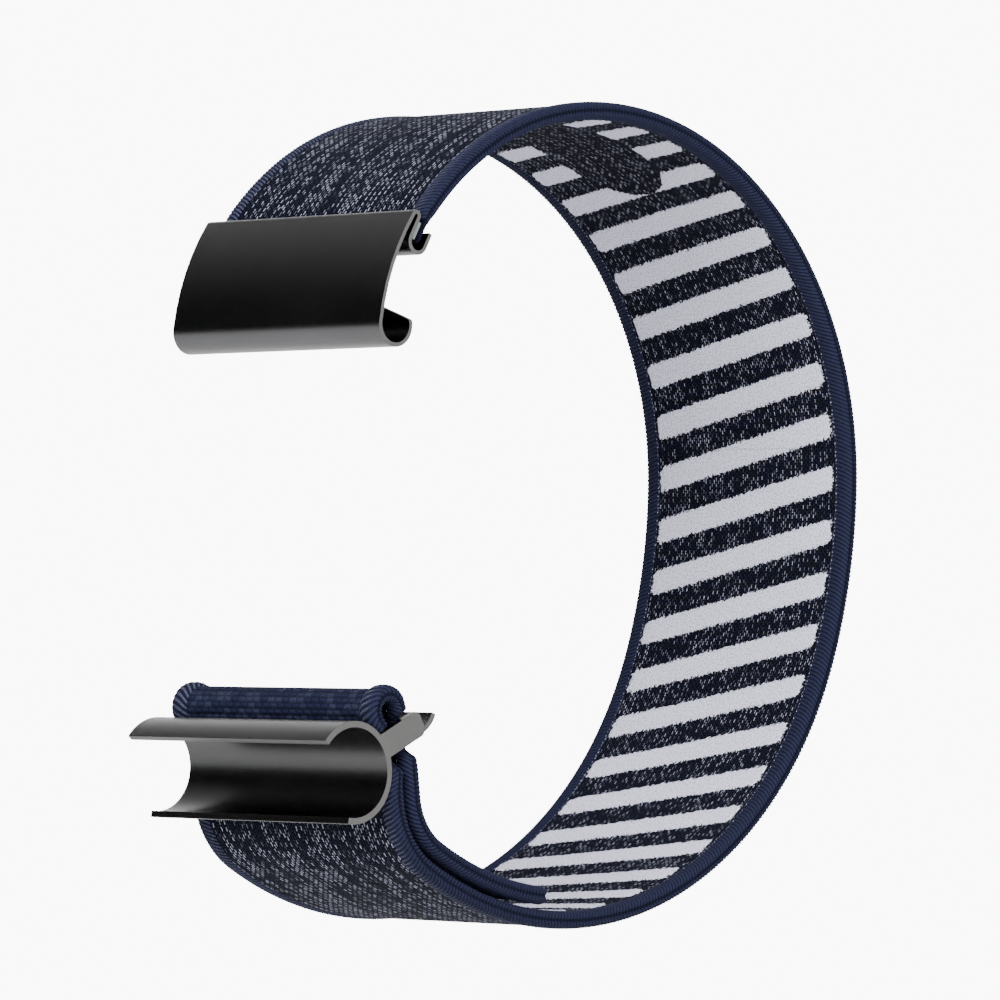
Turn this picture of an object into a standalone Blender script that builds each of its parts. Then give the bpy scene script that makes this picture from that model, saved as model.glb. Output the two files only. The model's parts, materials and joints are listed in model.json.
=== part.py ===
"""Woven wristband for a clip-in activity tracker.

The band is a loop of narrow double weave with overlocked edges. Its upper end is
crimped in a folded sheet clip with a hook along its lower edge. Its lower end runs
up through a slotted channel clip, folds over a cross pin and comes back down as a
tail with hook tape, which closes on the pile lining of the loop.

The loop lies in the XZ plane with its axis along Y and +Z up. Sizes are in
millimetres and are turned to metres where the solids are made.
"""

import math

import bmesh
import bpy

MM = 0.001

# --- Strap: widths across Y, thicknesses across the weave ---------------------------
STRAP_WIDTH = 20.6
BINDING_WIDTH = 2.4
FABRIC_THICKNESS = 1.0
BINDING_THICKNESS = 1.2
LAYER_GAP = 0.1
EDGE_GAP = 0.1
FOLD_THICKNESS = 0.8
FOLD_SIDE_CLEARANCE = 0.1
HOOK_TAPE_THICKNESS = 0.4
HOOK_TAPE_MARGIN = 0.6
TAIL_END_SEAL = 0.9

# --- Strap: route through the loop, from the crimp clockwise round the wrist --------
CRIMP_X = -21.4
CRIMP_Z = 21.2
CRIMP_HEADING = 60.0
CRIMP_RUN = 1.0
LOOP_ARCS = ((6.5, 9.4), (22.2, 37.3), (25.3, 104.4), (38.1, 20.2), (27.8, 99.6))
CORNER_RADIUS = 6.3
CORNER_TURN = 63.3
ENTRY_RUN = 0.56
FOLD_LEAD = 2.2
FOLD_FLEX_GAP = 0.5
HUMP_RADIUS = 1.1
HUMP_ANGLE = 57.4
HUMP_CLEARANCE = 0.08
UPPER_LENGTH = 37.0
BACK_LENGTH = 46.0
FLEX_GAP = 0.6
CRIMP_FLEX_GAP = 0.5
TAIL_LENGTH = 16.6
TAIL_CLEARANCE = 0.4
TAIL_FLEX_GAP = 0.7
TAIL_ROOT_RUN = 2.1

# --- Upper clip: one folded sheet -----------------------------------------------------
UPPER_CLIP_OVERHANG = 0.15
SHEET = 0.3
CRIMP_CLEARANCE = 0.1
CRIMP_LIP = 1.1
CRIMP_WALL = 1.45
TOP_FOLD_RADIUS = 0.27
TOP_FOLD_TURN = 173.0
PLATE_RADIUS = 16.5
PLATE_TURN = 28.0
HOOK_RADIUS = 1.42
HOOK_TURN = 220.0
HOOK_LIP = 0.9
LIP_CORNER_LENGTH = 3.6
LIP_CORNER_DROP = 1.5
LINER_THICKNESS = 0.25
LINER_HEIGHT = 1.3

# --- Lower clip: channel, arms and keeper in one piece, and its cross pin. Its angles ---
# --- are those that it has when the strap meets the channel upright. -------------------
LOWER_CLIP_INSET = 0.3
CHANNEL_RADIUS = 3.5
CHANNEL_WALL = 0.45
CHANNEL_FROM = -95.8
CHANNEL_TO = 145.2
ARM_ANGLE = 29.2
ARM_HEIGHT = 1.8
ARM_THICKNESS = 0.5
ARM_END_ROUND = 0.5
PIN_RISE = 4.4
PIN_DIAMETER = 0.7
PIN_CLEARANCE = 0.1
PIN_SOCKET_DEPTH = 0.3
PIN_SOCKET_CLEARANCE = 0.02
STRAP_CLEARANCE = 0.1
KEEPER_CLEARANCE = 0.4
KEEPER_RUN = 0.7
KEEPER_THICKNESS = 0.4
KEEPER_DROP = 0.65
KEEPER_RADIUS = 2.0
KEEPER_TURN = 45.0

# --- How finely curves are cut into flats ----------------------------------------------
STATION = 1.9
FINE_STATION = 0.35
CHANNEL_STATION = 0.7
SHEET_TURN = 17.0
CORNER_STEPS = 4
ROD_SIDES = 20


class Route:
    """A route in the XZ plane made of straight runs and tangent arcs."""

    def __init__(self, x, z, heading):
        self.runs = []
        self.point = (x, z)
        self.heading = math.radians(heading)

    def line(self, length):
        self.runs.append((self.point, self.heading, length, 0.0))
        self.point = step(self.point, self.heading, length, 0.0)
        return self

    def arc(self, radius, turn):
        """Turns left through a positive angle in degrees, and right through a negative one."""
        angle = math.radians(turn)
        length = radius * abs(angle)
        bend = math.copysign(1 / radius, angle)
        self.runs.append((self.point, self.heading, length, bend))
        self.point = step(self.point, self.heading, length, bend)
        self.heading += angle
        return self

    def wind(self, radius, centre, next_radius):
        """Turns at a signed radius, left positive, then runs straight to touch the next circle."""
        own = (
            self.point[0] - radius * math.sin(self.heading),
            self.point[1] + radius * math.cos(self.heading),
        )
        reach = (centre[0] - own[0], centre[1] - own[1])
        across = next_radius - radius
        along = math.sqrt(reach[0] ** 2 + reach[1] ** 2 - across**2)
        leaving = math.atan2(reach[1], reach[0]) - math.atan2(across, along)
        turn = leaving - self.heading
        full = 2 * math.pi
        turn = turn % full if radius > 0 else -(-turn % full)
        if full - abs(turn) < math.radians(1):
            turn = 0.0
        if turn:
            self.arc(abs(radius), math.degrees(turn))
        return self.line(along)

    def length(self):
        return sum(run[2] for run in self.runs)

    def at(self, distance):
        """The point and the heading at a distance along the route."""
        for start, heading, length, bend in self.runs:
            if distance <= length:
                return step(start, heading, distance, bend), heading + bend * distance
            distance -= length
        start, heading, length, bend = self.runs[-1]
        return step(start, heading, length, bend), heading + bend * length

    def stations(self, start, end, spacing):
        count = max(1, math.ceil((end - start) / spacing - 1e-6))
        return [self.at(start + (end - start) * i / count) for i in range(count + 1)]


def step(point, heading, length, bend):
    """The point reached from another along an arc of the given bend, or a straight if it is 0."""
    if not bend:
        return (
            point[0] + length * math.cos(heading),
            point[1] + length * math.sin(heading),
        )
    turned = heading + bend * length
    return (
        point[0] + (math.sin(turned) - math.sin(heading)) / bend,
        point[1] - (math.cos(turned) - math.cos(heading)) / bend,
    )


def beside(station, offset):
    """A point at an offset to the left of a station."""
    (x, z), heading = station
    return x - offset * math.sin(heading), z + offset * math.cos(heading)


def band_outline(stations, low, high):
    """The outline of a layer between two offsets, right side first."""
    right = [beside(station, low) for station in stations]
    left = [beside(station, high) for station in stations]
    return right + left[::-1]


def material(name, colour, roughness, metallic=0.0):
    made = bpy.data.materials.new(name)
    made.use_nodes = True
    shader = made.node_tree.nodes["Principled BSDF"]
    shader.inputs["Base Color"].default_value = (*colour, 1.0)
    shader.inputs["Roughness"].default_value = roughness
    shader.inputs["Metallic"].default_value = metallic
    made.diffuse_color = (*colour, 1.0)
    return made


def hang(obj, body):
    """Puts an object made in loop coordinates under its body's empty."""
    obj.parent = body
    obj.location.x = -body["pivot"][0] * MM
    obj.location.z = -body["pivot"][1] * MM


def plate(name, outline, low, high, body, finish):
    """An outline in XZ made solid between two Y values."""
    PROFILE.extend(outline)
    curve = bpy.data.curves.new(name, "CURVE")
    curve.dimensions = "2D"
    curve.fill_mode = "BOTH"
    curve.extrude = (high - low) / 2 * MM
    spline = curve.splines.new("POLY")
    spline.points.add(len(outline) - 1)
    for point, (x, z) in zip(spline.points, outline):
        point.co = (x * MM, z * MM, 0.0, 1.0)
    spline.use_cyclic_u = True
    curve.materials.append(finish)
    obj = bpy.data.objects.new(name, curve)
    obj.rotation_euler.x = math.pi / 2
    obj.location.y = (low + high) / 2 * MM
    hang(obj, body)
    BAND.objects.link(obj)
    return obj


def as_mesh(obj):
    """Turns a curve object into a mesh object with welded caps, so that it can be cut."""
    bpy.context.view_layer.update()
    graph = bpy.context.evaluated_depsgraph_get()
    name, body, place = obj.name, obj.parent, obj.matrix_local.copy()
    mesh = bpy.data.meshes.new_from_object(obj.evaluated_get(graph))
    work = bmesh.new()
    work.from_mesh(mesh)
    bmesh.ops.remove_doubles(work, verts=work.verts, dist=1e-6)
    bmesh.ops.recalc_face_normals(work, faces=work.faces)
    work.to_mesh(mesh)
    work.free()
    bpy.data.objects.remove(obj)
    made = bpy.data.objects.new(name, mesh)
    made.parent = body
    made.matrix_local = place
    BAND.objects.link(made)
    return made


def as_cutter(obj):
    BAND.objects.unlink(obj)
    CUTTERS.objects.link(obj)
    obj.hide_render = True
    obj.display_type = "WIRE"
    return obj


def combine(target, tool, operation):
    modifier = target.modifiers.new(tool.name, "BOOLEAN")
    modifier.operation = operation
    modifier.object = as_cutter(tool)


def rod(name, x, z, radius, low, high, body, finish):
    """A round rod along Y."""
    mesh = bpy.data.meshes.new(name)
    work = bmesh.new()
    bmesh.ops.create_cone(
        work,
        cap_ends=True,
        segments=ROD_SIDES,
        radius1=radius * MM,
        radius2=radius * MM,
        depth=(high - low) * MM,
    )
    work.to_mesh(mesh)
    work.free()
    mesh.shade_smooth()
    mesh.set_sharp_from_angle(angle=math.radians(720 / ROD_SIDES))
    mesh.materials.append(finish)
    obj = bpy.data.objects.new(name, mesh)
    obj.rotation_euler.x = math.pi / 2
    hang(obj, body)
    obj.location.x += x * MM
    obj.location.z += z * MM
    obj.location.y = (low + high) / 2 * MM
    BAND.objects.link(obj)
    return obj


def body_at(name, pivot):
    """An empty on a body's joint axis."""
    empty = bpy.data.objects.new(name, None)
    empty.empty_display_size = 2 * MM
    empty.location = (pivot[0] * MM, 0.0, pivot[1] * MM)
    empty["pivot"] = pivot
    empty.parent = ORIGIN
    BAND.objects.link(empty)
    return empty


def polar(centre, distance, angle):
    """The point at a distance and an angle in degrees from a centre."""
    turned = math.radians(angle)
    return centre[0] + distance * math.cos(turned), centre[1] + distance * math.sin(turned)


def strap_route():
    """The strap's middle line and what lies along it: (route, fold start, tail start, channel, lean, pin).

    The strap leaves the loop's last arc round a corner, meets the channel, runs up it,
    folds over the hump and the pin, and goes back down inside the corner as the tail.
    The channel and the pin take their places from the strap.
    """
    route = Route(CRIMP_X, CRIMP_Z, CRIMP_HEADING).line(CRIMP_RUN)
    for radius, turn in LOOP_ARCS:
        route.arc(radius, -turn)
    round_channel = CHANNEL_RADIUS + STRAP_CLEARANCE + FOLD_THICKNESS / 2
    round_pin = PIN_DIAMETER / 2 + PIN_CLEARANCE + FOLD_THICKNESS / 2
    corner = (
        route.point[0] + CORNER_RADIUS * math.sin(route.heading),
        route.point[1] - CORNER_RADIUS * math.cos(route.heading),
    )
    route.arc(CORNER_RADIUS, -CORNER_TURN).line(ENTRY_RUN)
    fold_start = route.length() - FOLD_LEAD
    channel = beside((route.point, route.heading), round_channel)
    lean = math.degrees(route.heading) % 360 - 90
    to_hump = round_channel + HUMP_RADIUS + HUMP_CLEARANCE
    hump = polar(channel, to_hump, HUMP_ANGLE + lean)
    to_pin = CHANNEL_RADIUS + FOLD_THICKNESS + 2 * STRAP_CLEARANCE + PIN_DIAMETER / 2
    pin = polar(channel, to_pin, ARM_ANGLE + lean + PIN_RISE)
    route.wind(round_channel, hump, -HUMP_RADIUS)
    route.wind(-HUMP_RADIUS, pin, -round_pin)
    tail_offset = BINDING_THICKNESS + TAIL_CLEARANCE
    tail_corner = CORNER_RADIUS - tail_offset
    route.wind(-round_pin, corner, tail_corner)
    tail_start = route.length() - route.runs[-1][2] + TAIL_ROOT_RUN
    back = math.pi + math.radians(
        CRIMP_HEADING - sum(turn for _, turn in LOOP_ARCS)
    )
    turn = math.degrees((back - route.heading) % (2 * math.pi))
    route.arc(tail_corner, turn)
    route.arc(LOOP_ARCS[-1][0] - tail_offset, 90.0)
    return route, fold_start, tail_start, channel, lean, pin


STRAP, FOLD_START, TAIL_START, CHANNEL, LEAN, PIN = strap_route()
UPPER_CLIP_WIDTH = STRAP_WIDTH + 2 * UPPER_CLIP_OVERHANG
LOWER_CLIP_WIDTH = STRAP_WIDTH - 2 * LOWER_CLIP_INSET

for old in list(bpy.data.objects):
    bpy.data.objects.remove(old)
BAND = bpy.data.collections.new("tracker_band")
CUTTERS = bpy.data.collections.new("cutters")
bpy.context.scene.collection.children.link(BAND)
bpy.context.scene.collection.children.link(CUTTERS)
ORIGIN = bpy.data.objects.new("band_origin", None)
PROFILE = []
BAND.objects.link(ORIGIN)

WEAVE = material("melange_weave", (0.035, 0.040, 0.085), 0.85)
LINING = material("pile_lining", (0.42, 0.42, 0.50), 0.95)
BINDING = material("navy_binding", (0.020, 0.026, 0.085), 0.80)
HOOKS = material("black_hook_tape", (0.010, 0.010, 0.012), 0.70)
METAL = material("black_steel", (0.020, 0.020, 0.020), 0.30, 1.0)
STEEL = material("bare_steel", (0.45, 0.46, 0.46), 0.35, 1.0)
LINER = material("grey_liner", (0.42, 0.45, 0.46), 0.50)


def strap_piece(prefix, start, end, body, thickness, width, binding_thickness, spacing):
    """The weave, the lining and both edge bindings of one stretch of the strap."""
    stations = STRAP.stations(start, end, spacing)
    half, edge = thickness / 2, binding_thickness / 2
    panel = width / 2 - BINDING_WIDTH - EDGE_GAP
    inner, outer = width / 2 - BINDING_WIDTH, width / 2
    weave = band_outline(stations, LAYER_GAP / 2, half)
    lining = band_outline(stations, -half, -LAYER_GAP / 2)
    binding = band_outline(stations, -edge, edge)
    plate(prefix + "_weave", weave, -panel, panel, body, WEAVE)
    plate(prefix + "_lining", lining, -panel, panel, body, LINING)
    plate(prefix + "_binding_near", binding, -outer, -inner, body, BINDING)
    plate(prefix + "_binding_far", binding, inner, outer, body, BINDING)


def strap():
    """The strap in its stretches between flexing places, from the crimp to the fold."""
    mouth = CRIMP_WALL + TOP_FOLD_RADIUS
    flex_crimp = mouth + CRIMP_FLEX_GAP / 2
    flex_top = UPPER_LENGTH
    flex_bottom = UPPER_LENGTH + BACK_LENGTH
    fold_root = STRAP.at(FOLD_START)[0]
    tail_root = STRAP.at(TAIL_START - TAIL_FLEX_GAP / 2)[0]
    between_layers = tuple((a + b) / 2 for a, b in zip(fold_root, tail_root))
    bodies = {
        "strap_back": body_at("strap_back", (0.0, 0.0)),
        "strap_upper": body_at("strap_upper", STRAP.at(flex_top)[0]),
        "upper_clip_body": body_at("upper_clip_body", STRAP.at(flex_crimp)[0]),
        "strap_lower": body_at("strap_lower", STRAP.at(flex_bottom)[0]),
        "strap_fold": body_at("strap_fold", between_layers),
        "lower_clip_body": body_at("lower_clip_body", PIN),
        "tail": body_at("tail", tail_root),
    }
    full = (FABRIC_THICKNESS, STRAP_WIDTH, BINDING_THICKNESS, STATION)
    slot = LOWER_CLIP_WIDTH - 2 * ARM_THICKNESS - 2 * FOLD_SIDE_CLEARANCE
    half_flex = FLEX_GAP / 2
    strap_piece(
        "upper",
        flex_crimp + CRIMP_FLEX_GAP / 2,
        flex_top - half_flex,
        bodies["strap_upper"],
        *full,
    )
    strap_piece(
        "back",
        flex_top + half_flex,
        flex_bottom - half_flex,
        bodies["strap_back"],
        *full,
    )
    strap_piece(
        "lower",
        flex_bottom + half_flex,
        FOLD_START - FOLD_FLEX_GAP / 2,
        bodies["strap_lower"],
        *full,
    )
    strap_piece(
        "fold",
        FOLD_START + FOLD_FLEX_GAP / 2,
        TAIL_START - TAIL_FLEX_GAP,
        bodies["strap_fold"],
        FOLD_THICKNESS,
        slot,
        FOLD_THICKNESS,
        FINE_STATION,
    )
    return bodies


def tail(body):
    """The strap's free end with its hook tape and sealed tip."""
    end = TAIL_START + TAIL_LENGTH
    stations = STRAP.stations(TAIL_START, end, STATION)
    half, edge = FABRIC_THICKNESS / 2, BINDING_THICKNESS / 2
    panel = STRAP_WIDTH / 2 - BINDING_WIDTH - EDGE_GAP
    inner, outer = STRAP_WIDTH / 2 - BINDING_WIDTH, STRAP_WIDTH / 2
    back_of_tape = half - LAYER_GAP - HOOK_TAPE_THICKNESS
    weave = band_outline(stations, -back_of_tape, half)
    tape_stations = STRAP.stations(
        TAIL_START + HOOK_TAPE_MARGIN, end - HOOK_TAPE_MARGIN, STATION
    )
    tape = band_outline(tape_stations, -half, -half + HOOK_TAPE_THICKNESS)
    binding = band_outline(stations, -edge, edge)
    seal_stations = STRAP.stations(
        end + LAYER_GAP, end + LAYER_GAP + TAIL_END_SEAL, STATION
    )
    seal = band_outline(seal_stations, -half, half)
    plate("tail_weave", weave, -panel, panel, body, WEAVE)
    plate(
        "tail_hook_tape",
        tape,
        -panel + HOOK_TAPE_MARGIN,
        panel - HOOK_TAPE_MARGIN,
        body,
        HOOKS,
    )
    plate("tail_binding_near", binding, -outer, -inner, body, BINDING)
    plate("tail_binding_far", binding, inner, outer, body, BINDING)
    plate("tail_end_seal", seal, -outer, outer, body, BINDING)


def upper_clip(body):
    """The folded sheet: crimp channel, top fold, curved face plate and hook."""
    half = UPPER_CLIP_WIDTH / 2
    crimp_radius = FABRIC_THICKNESS / 2 + CRIMP_CLEARANCE + SHEET / 2
    heading = math.radians(CRIMP_HEADING)
    tip = beside(
        (
            (
                CRIMP_X + CRIMP_LIP * math.cos(heading),
                CRIMP_Z + CRIMP_LIP * math.sin(heading),
            ),
            heading,
        ),
        -crimp_radius,
    )
    sheet = Route(*tip, CRIMP_HEADING + 180)
    sheet.line(CRIMP_LIP).arc(crimp_radius, -180).line(CRIMP_WALL)
    sheet.arc(TOP_FOLD_RADIUS, TOP_FOLD_TURN).arc(PLATE_RADIUS, PLATE_TURN)
    hook_start = sheet.point
    hook_heading = sheet.heading
    sheet.arc(HOOK_RADIUS, HOOK_TURN).line(HOOK_LIP)
    stations = []
    for point, along, length, bend in sheet.runs:
        pieces = max(1, math.ceil(abs(length * bend) / math.radians(SHEET_TURN)))
        stations += [
            (step(point, along, length * i / pieces, bend), along + bend * length * i / pieces)
            for i in range(pieces)
        ]
    stations.append((sheet.point, sheet.heading))
    clip = as_mesh(
        plate(
            "upper_clip",
            band_outline(stations, -SHEET / 2, SHEET / 2),
            -half,
            half,
            body,
            METAL,
        )
    )
    centre = (
        hook_start[0] - HOOK_RADIUS * math.sin(hook_heading),
        hook_start[1] + HOOK_RADIUS * math.cos(hook_heading),
    )
    trim_lip(clip, centre, sheet.point[1] + SHEET, body)

    strap_end = STRAP.stations(0.0, CRIMP_WALL + TOP_FOLD_RADIUS, FINE_STATION)
    thick = FABRIC_THICKNESS / 2
    liner_low = thick - LINER_THICKNESS
    plate(
        "crimped_strap_end",
        band_outline(strap_end, -thick, liner_low - LAYER_GAP),
        -STRAP_WIDTH / 2,
        STRAP_WIDTH / 2,
        body,
        BINDING,
    )
    plate(
        "crimp_liner",
        band_outline(STRAP.stations(0.0, LINER_HEIGHT, FINE_STATION), liner_low, thick),
        -STRAP_WIDTH / 2,
        STRAP_WIDTH / 2,
        body,
        LINER,
    )


def trim_lip(clip, centre, top, body):
    """Cuts both upper corners off the hook's lip on a slant."""
    half = UPPER_CLIP_WIDTH / 2
    low = top - LIP_CORNER_DROP
    for side, name in ((-1, "lip_corner_near"), (1, "lip_corner_far")):
        end, inner = side * (half + SHEET), side * (half - LIP_CORNER_LENGTH)
        mesh = bpy.data.meshes.new(name)
        work = bmesh.new()
        left, right = centre[0] - HOOK_RADIUS / 2, centre[0] + 2 * HOOK_RADIUS
        corners = [(end, low), (end, top + SHEET), (inner, top + SHEET)]
        rings = [
            [work.verts.new((x * MM, y * MM, z * MM)) for y, z in corners]
            for x in (left, right)
        ]
        work.faces.new(rings[0])
        work.faces.new(rings[1])
        for i in range(3):
            j = (i + 1) % 3
            work.faces.new((rings[0][i], rings[0][j], rings[1][j], rings[1][i]))
        bmesh.ops.recalc_face_normals(work, faces=work.faces)
        work.to_mesh(mesh)
        work.free()
        cutter = bpy.data.objects.new(name, mesh)
        hang(cutter, body)
        BAND.objects.link(cutter)
        combine(clip, cutter, "DIFFERENCE")


def lower_clip(body):
    """The channel with its arms and keeper, and the pin across the arms."""
    half = LOWER_CLIP_WIDTH / 2
    middle = CHANNEL_RADIUS - CHANNEL_WALL / 2
    start = CHANNEL_FROM + LEAN
    channel = Route(*polar(CHANNEL, middle, start), start + 90)
    channel.arc(middle, CHANNEL_TO - CHANNEL_FROM)
    frame = as_mesh(
        plate(
            "lower_clip",
            band_outline(
                channel.stations(0.0, channel.length(), CHANNEL_STATION),
                -CHANNEL_WALL / 2,
                CHANNEL_WALL / 2,
            ),
            -half,
            half,
            body,
            METAL,
        )
    )

    along = math.radians(ARM_ANGLE + LEAN)
    to_pin = math.dist(PIN, CHANNEL) - middle
    to_keeper = PIN_DIAMETER / 2 + FOLD_THICKNESS + PIN_CLEARANCE + KEEPER_CLEARANCE
    root = (PIN[0] - to_pin * math.cos(along), PIN[1] - to_pin * math.sin(along))
    length = to_pin + to_keeper + KEEPER_RUN
    arm = arm_outline(root, along, length)
    for side, name in ((-1, "arm_near"), (1, "arm_far")):
        low, high = sorted((side * half, side * (half - ARM_THICKNESS)))
        piece = as_mesh(plate(name, arm, low, high, body, METAL))
        combine(frame, piece, "UNION")

    keeper = keeper_outline(along, to_keeper)
    overlap = ARM_THICKNESS / 2
    piece = as_mesh(plate("keeper", keeper, -half + overlap, half - overlap, body, METAL))
    combine(frame, piece, "UNION")

    reach = half - ARM_THICKNESS + PIN_SOCKET_DEPTH
    pin_radius = PIN_DIAMETER / 2
    socket = rod(
        "pin_socket",
        *PIN,
        pin_radius + PIN_SOCKET_CLEARANCE,
        -reach,
        reach,
        body,
        METAL,
    )
    combine(frame, socket, "DIFFERENCE")
    shy = reach - PIN_SOCKET_CLEARANCE
    rod("cross_pin", *PIN, pin_radius, -shy, shy, body, STEEL)


def arm_outline(root, along, length):
    """A straight arm with rounded outer corners."""
    high, low = ARM_HEIGHT / 2, -ARM_HEIGHT / 2
    outline = [(0.0, low)]
    for corner, first in ((low + ARM_END_ROUND, -90), (high - ARM_END_ROUND, 0)):
        for i in range(CORNER_STEPS + 1):
            angle = math.radians(first + 90.0 * i / CORNER_STEPS)
            outline.append(
                (
                    length - ARM_END_ROUND + ARM_END_ROUND * math.cos(angle),
                    corner + ARM_END_ROUND * math.sin(angle),
                )
            )
    outline.append((0.0, high))
    turned = math.cos(along), math.sin(along)
    return [
        (root[0] + u * turned[0] - v * turned[1], root[1] + u * turned[1] + v * turned[0])
        for u, v in outline
    ]


def keeper_outline(along, reach):
    """The bar that joins the arms' outer ends, a thin lip that curls up past them."""
    start = beside(
        (
            (PIN[0] + reach * math.cos(along), PIN[1] + reach * math.sin(along)),
            along,
        ),
        -KEEPER_DROP,
    )
    lip = Route(*start, math.degrees(along)).line(KEEPER_RUN)
    lip.arc(KEEPER_RADIUS, KEEPER_TURN)
    half = KEEPER_THICKNESS / 2
    return band_outline(lip.stations(0.0, lip.length(), FINE_STATION), -half, half)


def stand_on_origin():
    """Moves the band so that the middle of its base is the origin."""
    across = [x for x, _ in PROFILE]
    ORIGIN.location.x = -(min(across) + max(across)) / 2 * MM
    ORIGIN.location.z = -min(z for _, z in PROFILE) * MM


def main():
    bodies = strap()
    tail(bodies["tail"])
    upper_clip(bodies["upper_clip_body"])
    lower_clip(bodies["lower_clip_body"])
    stand_on_origin()


main()
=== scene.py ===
"""Looks of a woven wristband for a clip-in activity tracker.

The strap is one double weave: a melange outside, a lining with slanted pile stripes
inside, and an overlocked binding along both edges. It runs from the crimp of the upper
clip round the loop, up past the lower clip's channel, over a pin and back as a tail.

Lengths are in millimetres and turn to metres where a mesh is made. Distances along the
strap start in the crimp.
"""

from __future__ import annotations

import json
import logging
import math
from dataclasses import dataclass, field, replace
from enum import Enum
from typing import Iterable, Sequence

import bmesh
import bpy
import numpy as np
from mathutils import Vector, noise
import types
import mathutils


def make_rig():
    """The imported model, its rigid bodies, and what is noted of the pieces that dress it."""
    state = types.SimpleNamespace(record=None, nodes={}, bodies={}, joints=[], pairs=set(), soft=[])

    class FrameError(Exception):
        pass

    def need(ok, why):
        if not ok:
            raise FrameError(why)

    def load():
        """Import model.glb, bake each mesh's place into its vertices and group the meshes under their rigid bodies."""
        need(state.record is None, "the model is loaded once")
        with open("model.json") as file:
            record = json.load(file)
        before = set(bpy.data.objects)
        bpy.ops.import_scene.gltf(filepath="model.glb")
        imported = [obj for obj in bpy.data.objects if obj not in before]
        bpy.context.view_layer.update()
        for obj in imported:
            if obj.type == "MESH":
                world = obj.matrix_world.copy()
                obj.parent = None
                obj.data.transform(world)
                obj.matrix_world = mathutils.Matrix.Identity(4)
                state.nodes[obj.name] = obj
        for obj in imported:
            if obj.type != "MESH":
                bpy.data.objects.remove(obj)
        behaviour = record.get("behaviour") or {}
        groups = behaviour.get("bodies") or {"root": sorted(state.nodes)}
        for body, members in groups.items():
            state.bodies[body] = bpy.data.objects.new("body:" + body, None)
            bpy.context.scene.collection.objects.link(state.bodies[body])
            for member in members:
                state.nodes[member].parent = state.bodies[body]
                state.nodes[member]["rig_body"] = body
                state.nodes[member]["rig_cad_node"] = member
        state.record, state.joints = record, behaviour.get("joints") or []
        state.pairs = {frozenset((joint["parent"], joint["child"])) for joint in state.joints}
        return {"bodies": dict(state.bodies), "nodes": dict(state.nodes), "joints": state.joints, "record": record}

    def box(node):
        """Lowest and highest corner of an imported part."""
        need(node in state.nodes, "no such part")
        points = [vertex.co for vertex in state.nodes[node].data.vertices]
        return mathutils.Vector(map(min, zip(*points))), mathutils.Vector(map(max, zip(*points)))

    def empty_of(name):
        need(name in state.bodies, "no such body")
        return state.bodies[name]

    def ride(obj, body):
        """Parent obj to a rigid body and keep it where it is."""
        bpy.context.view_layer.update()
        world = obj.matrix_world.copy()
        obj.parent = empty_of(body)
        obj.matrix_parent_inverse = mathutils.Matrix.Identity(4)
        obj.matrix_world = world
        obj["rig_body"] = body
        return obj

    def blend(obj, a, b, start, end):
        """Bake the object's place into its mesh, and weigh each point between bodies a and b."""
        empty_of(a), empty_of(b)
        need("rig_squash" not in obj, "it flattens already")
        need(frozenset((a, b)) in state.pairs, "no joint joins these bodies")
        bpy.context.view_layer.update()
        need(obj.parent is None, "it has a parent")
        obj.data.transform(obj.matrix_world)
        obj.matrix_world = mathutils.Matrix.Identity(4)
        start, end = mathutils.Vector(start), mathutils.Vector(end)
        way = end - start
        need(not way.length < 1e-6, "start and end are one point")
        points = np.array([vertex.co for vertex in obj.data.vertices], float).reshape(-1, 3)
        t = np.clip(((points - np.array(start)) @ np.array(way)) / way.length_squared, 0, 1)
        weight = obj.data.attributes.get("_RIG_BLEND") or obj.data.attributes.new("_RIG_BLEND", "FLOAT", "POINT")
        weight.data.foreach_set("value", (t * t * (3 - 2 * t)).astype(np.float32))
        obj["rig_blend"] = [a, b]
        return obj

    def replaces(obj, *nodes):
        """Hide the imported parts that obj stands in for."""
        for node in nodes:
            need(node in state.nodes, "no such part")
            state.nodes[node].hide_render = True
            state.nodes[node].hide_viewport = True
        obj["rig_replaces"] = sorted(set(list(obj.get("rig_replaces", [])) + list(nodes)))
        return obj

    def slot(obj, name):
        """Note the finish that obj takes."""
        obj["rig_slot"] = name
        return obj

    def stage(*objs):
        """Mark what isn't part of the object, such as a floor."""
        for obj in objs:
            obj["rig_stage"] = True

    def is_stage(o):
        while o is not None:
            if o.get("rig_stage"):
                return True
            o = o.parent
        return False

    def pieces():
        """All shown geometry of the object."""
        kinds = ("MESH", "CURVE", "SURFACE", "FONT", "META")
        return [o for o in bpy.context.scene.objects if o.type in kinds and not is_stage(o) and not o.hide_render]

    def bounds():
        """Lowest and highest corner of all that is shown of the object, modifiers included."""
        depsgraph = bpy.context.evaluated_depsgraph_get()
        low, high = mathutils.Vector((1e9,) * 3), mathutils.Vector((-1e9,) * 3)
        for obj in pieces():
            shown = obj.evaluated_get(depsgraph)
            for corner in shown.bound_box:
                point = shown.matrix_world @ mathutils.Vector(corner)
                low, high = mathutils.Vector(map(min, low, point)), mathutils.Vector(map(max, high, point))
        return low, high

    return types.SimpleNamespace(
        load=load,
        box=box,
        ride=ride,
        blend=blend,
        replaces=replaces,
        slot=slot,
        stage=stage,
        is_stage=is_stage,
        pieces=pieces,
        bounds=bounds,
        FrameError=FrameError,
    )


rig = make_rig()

MM = 0.001
TAIL_BEND = 3.0
LOG = logging.getLogger("wristband")

Point = tuple[float, float]


# --- Route of the strap ---------------------------------------------------------------


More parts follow.
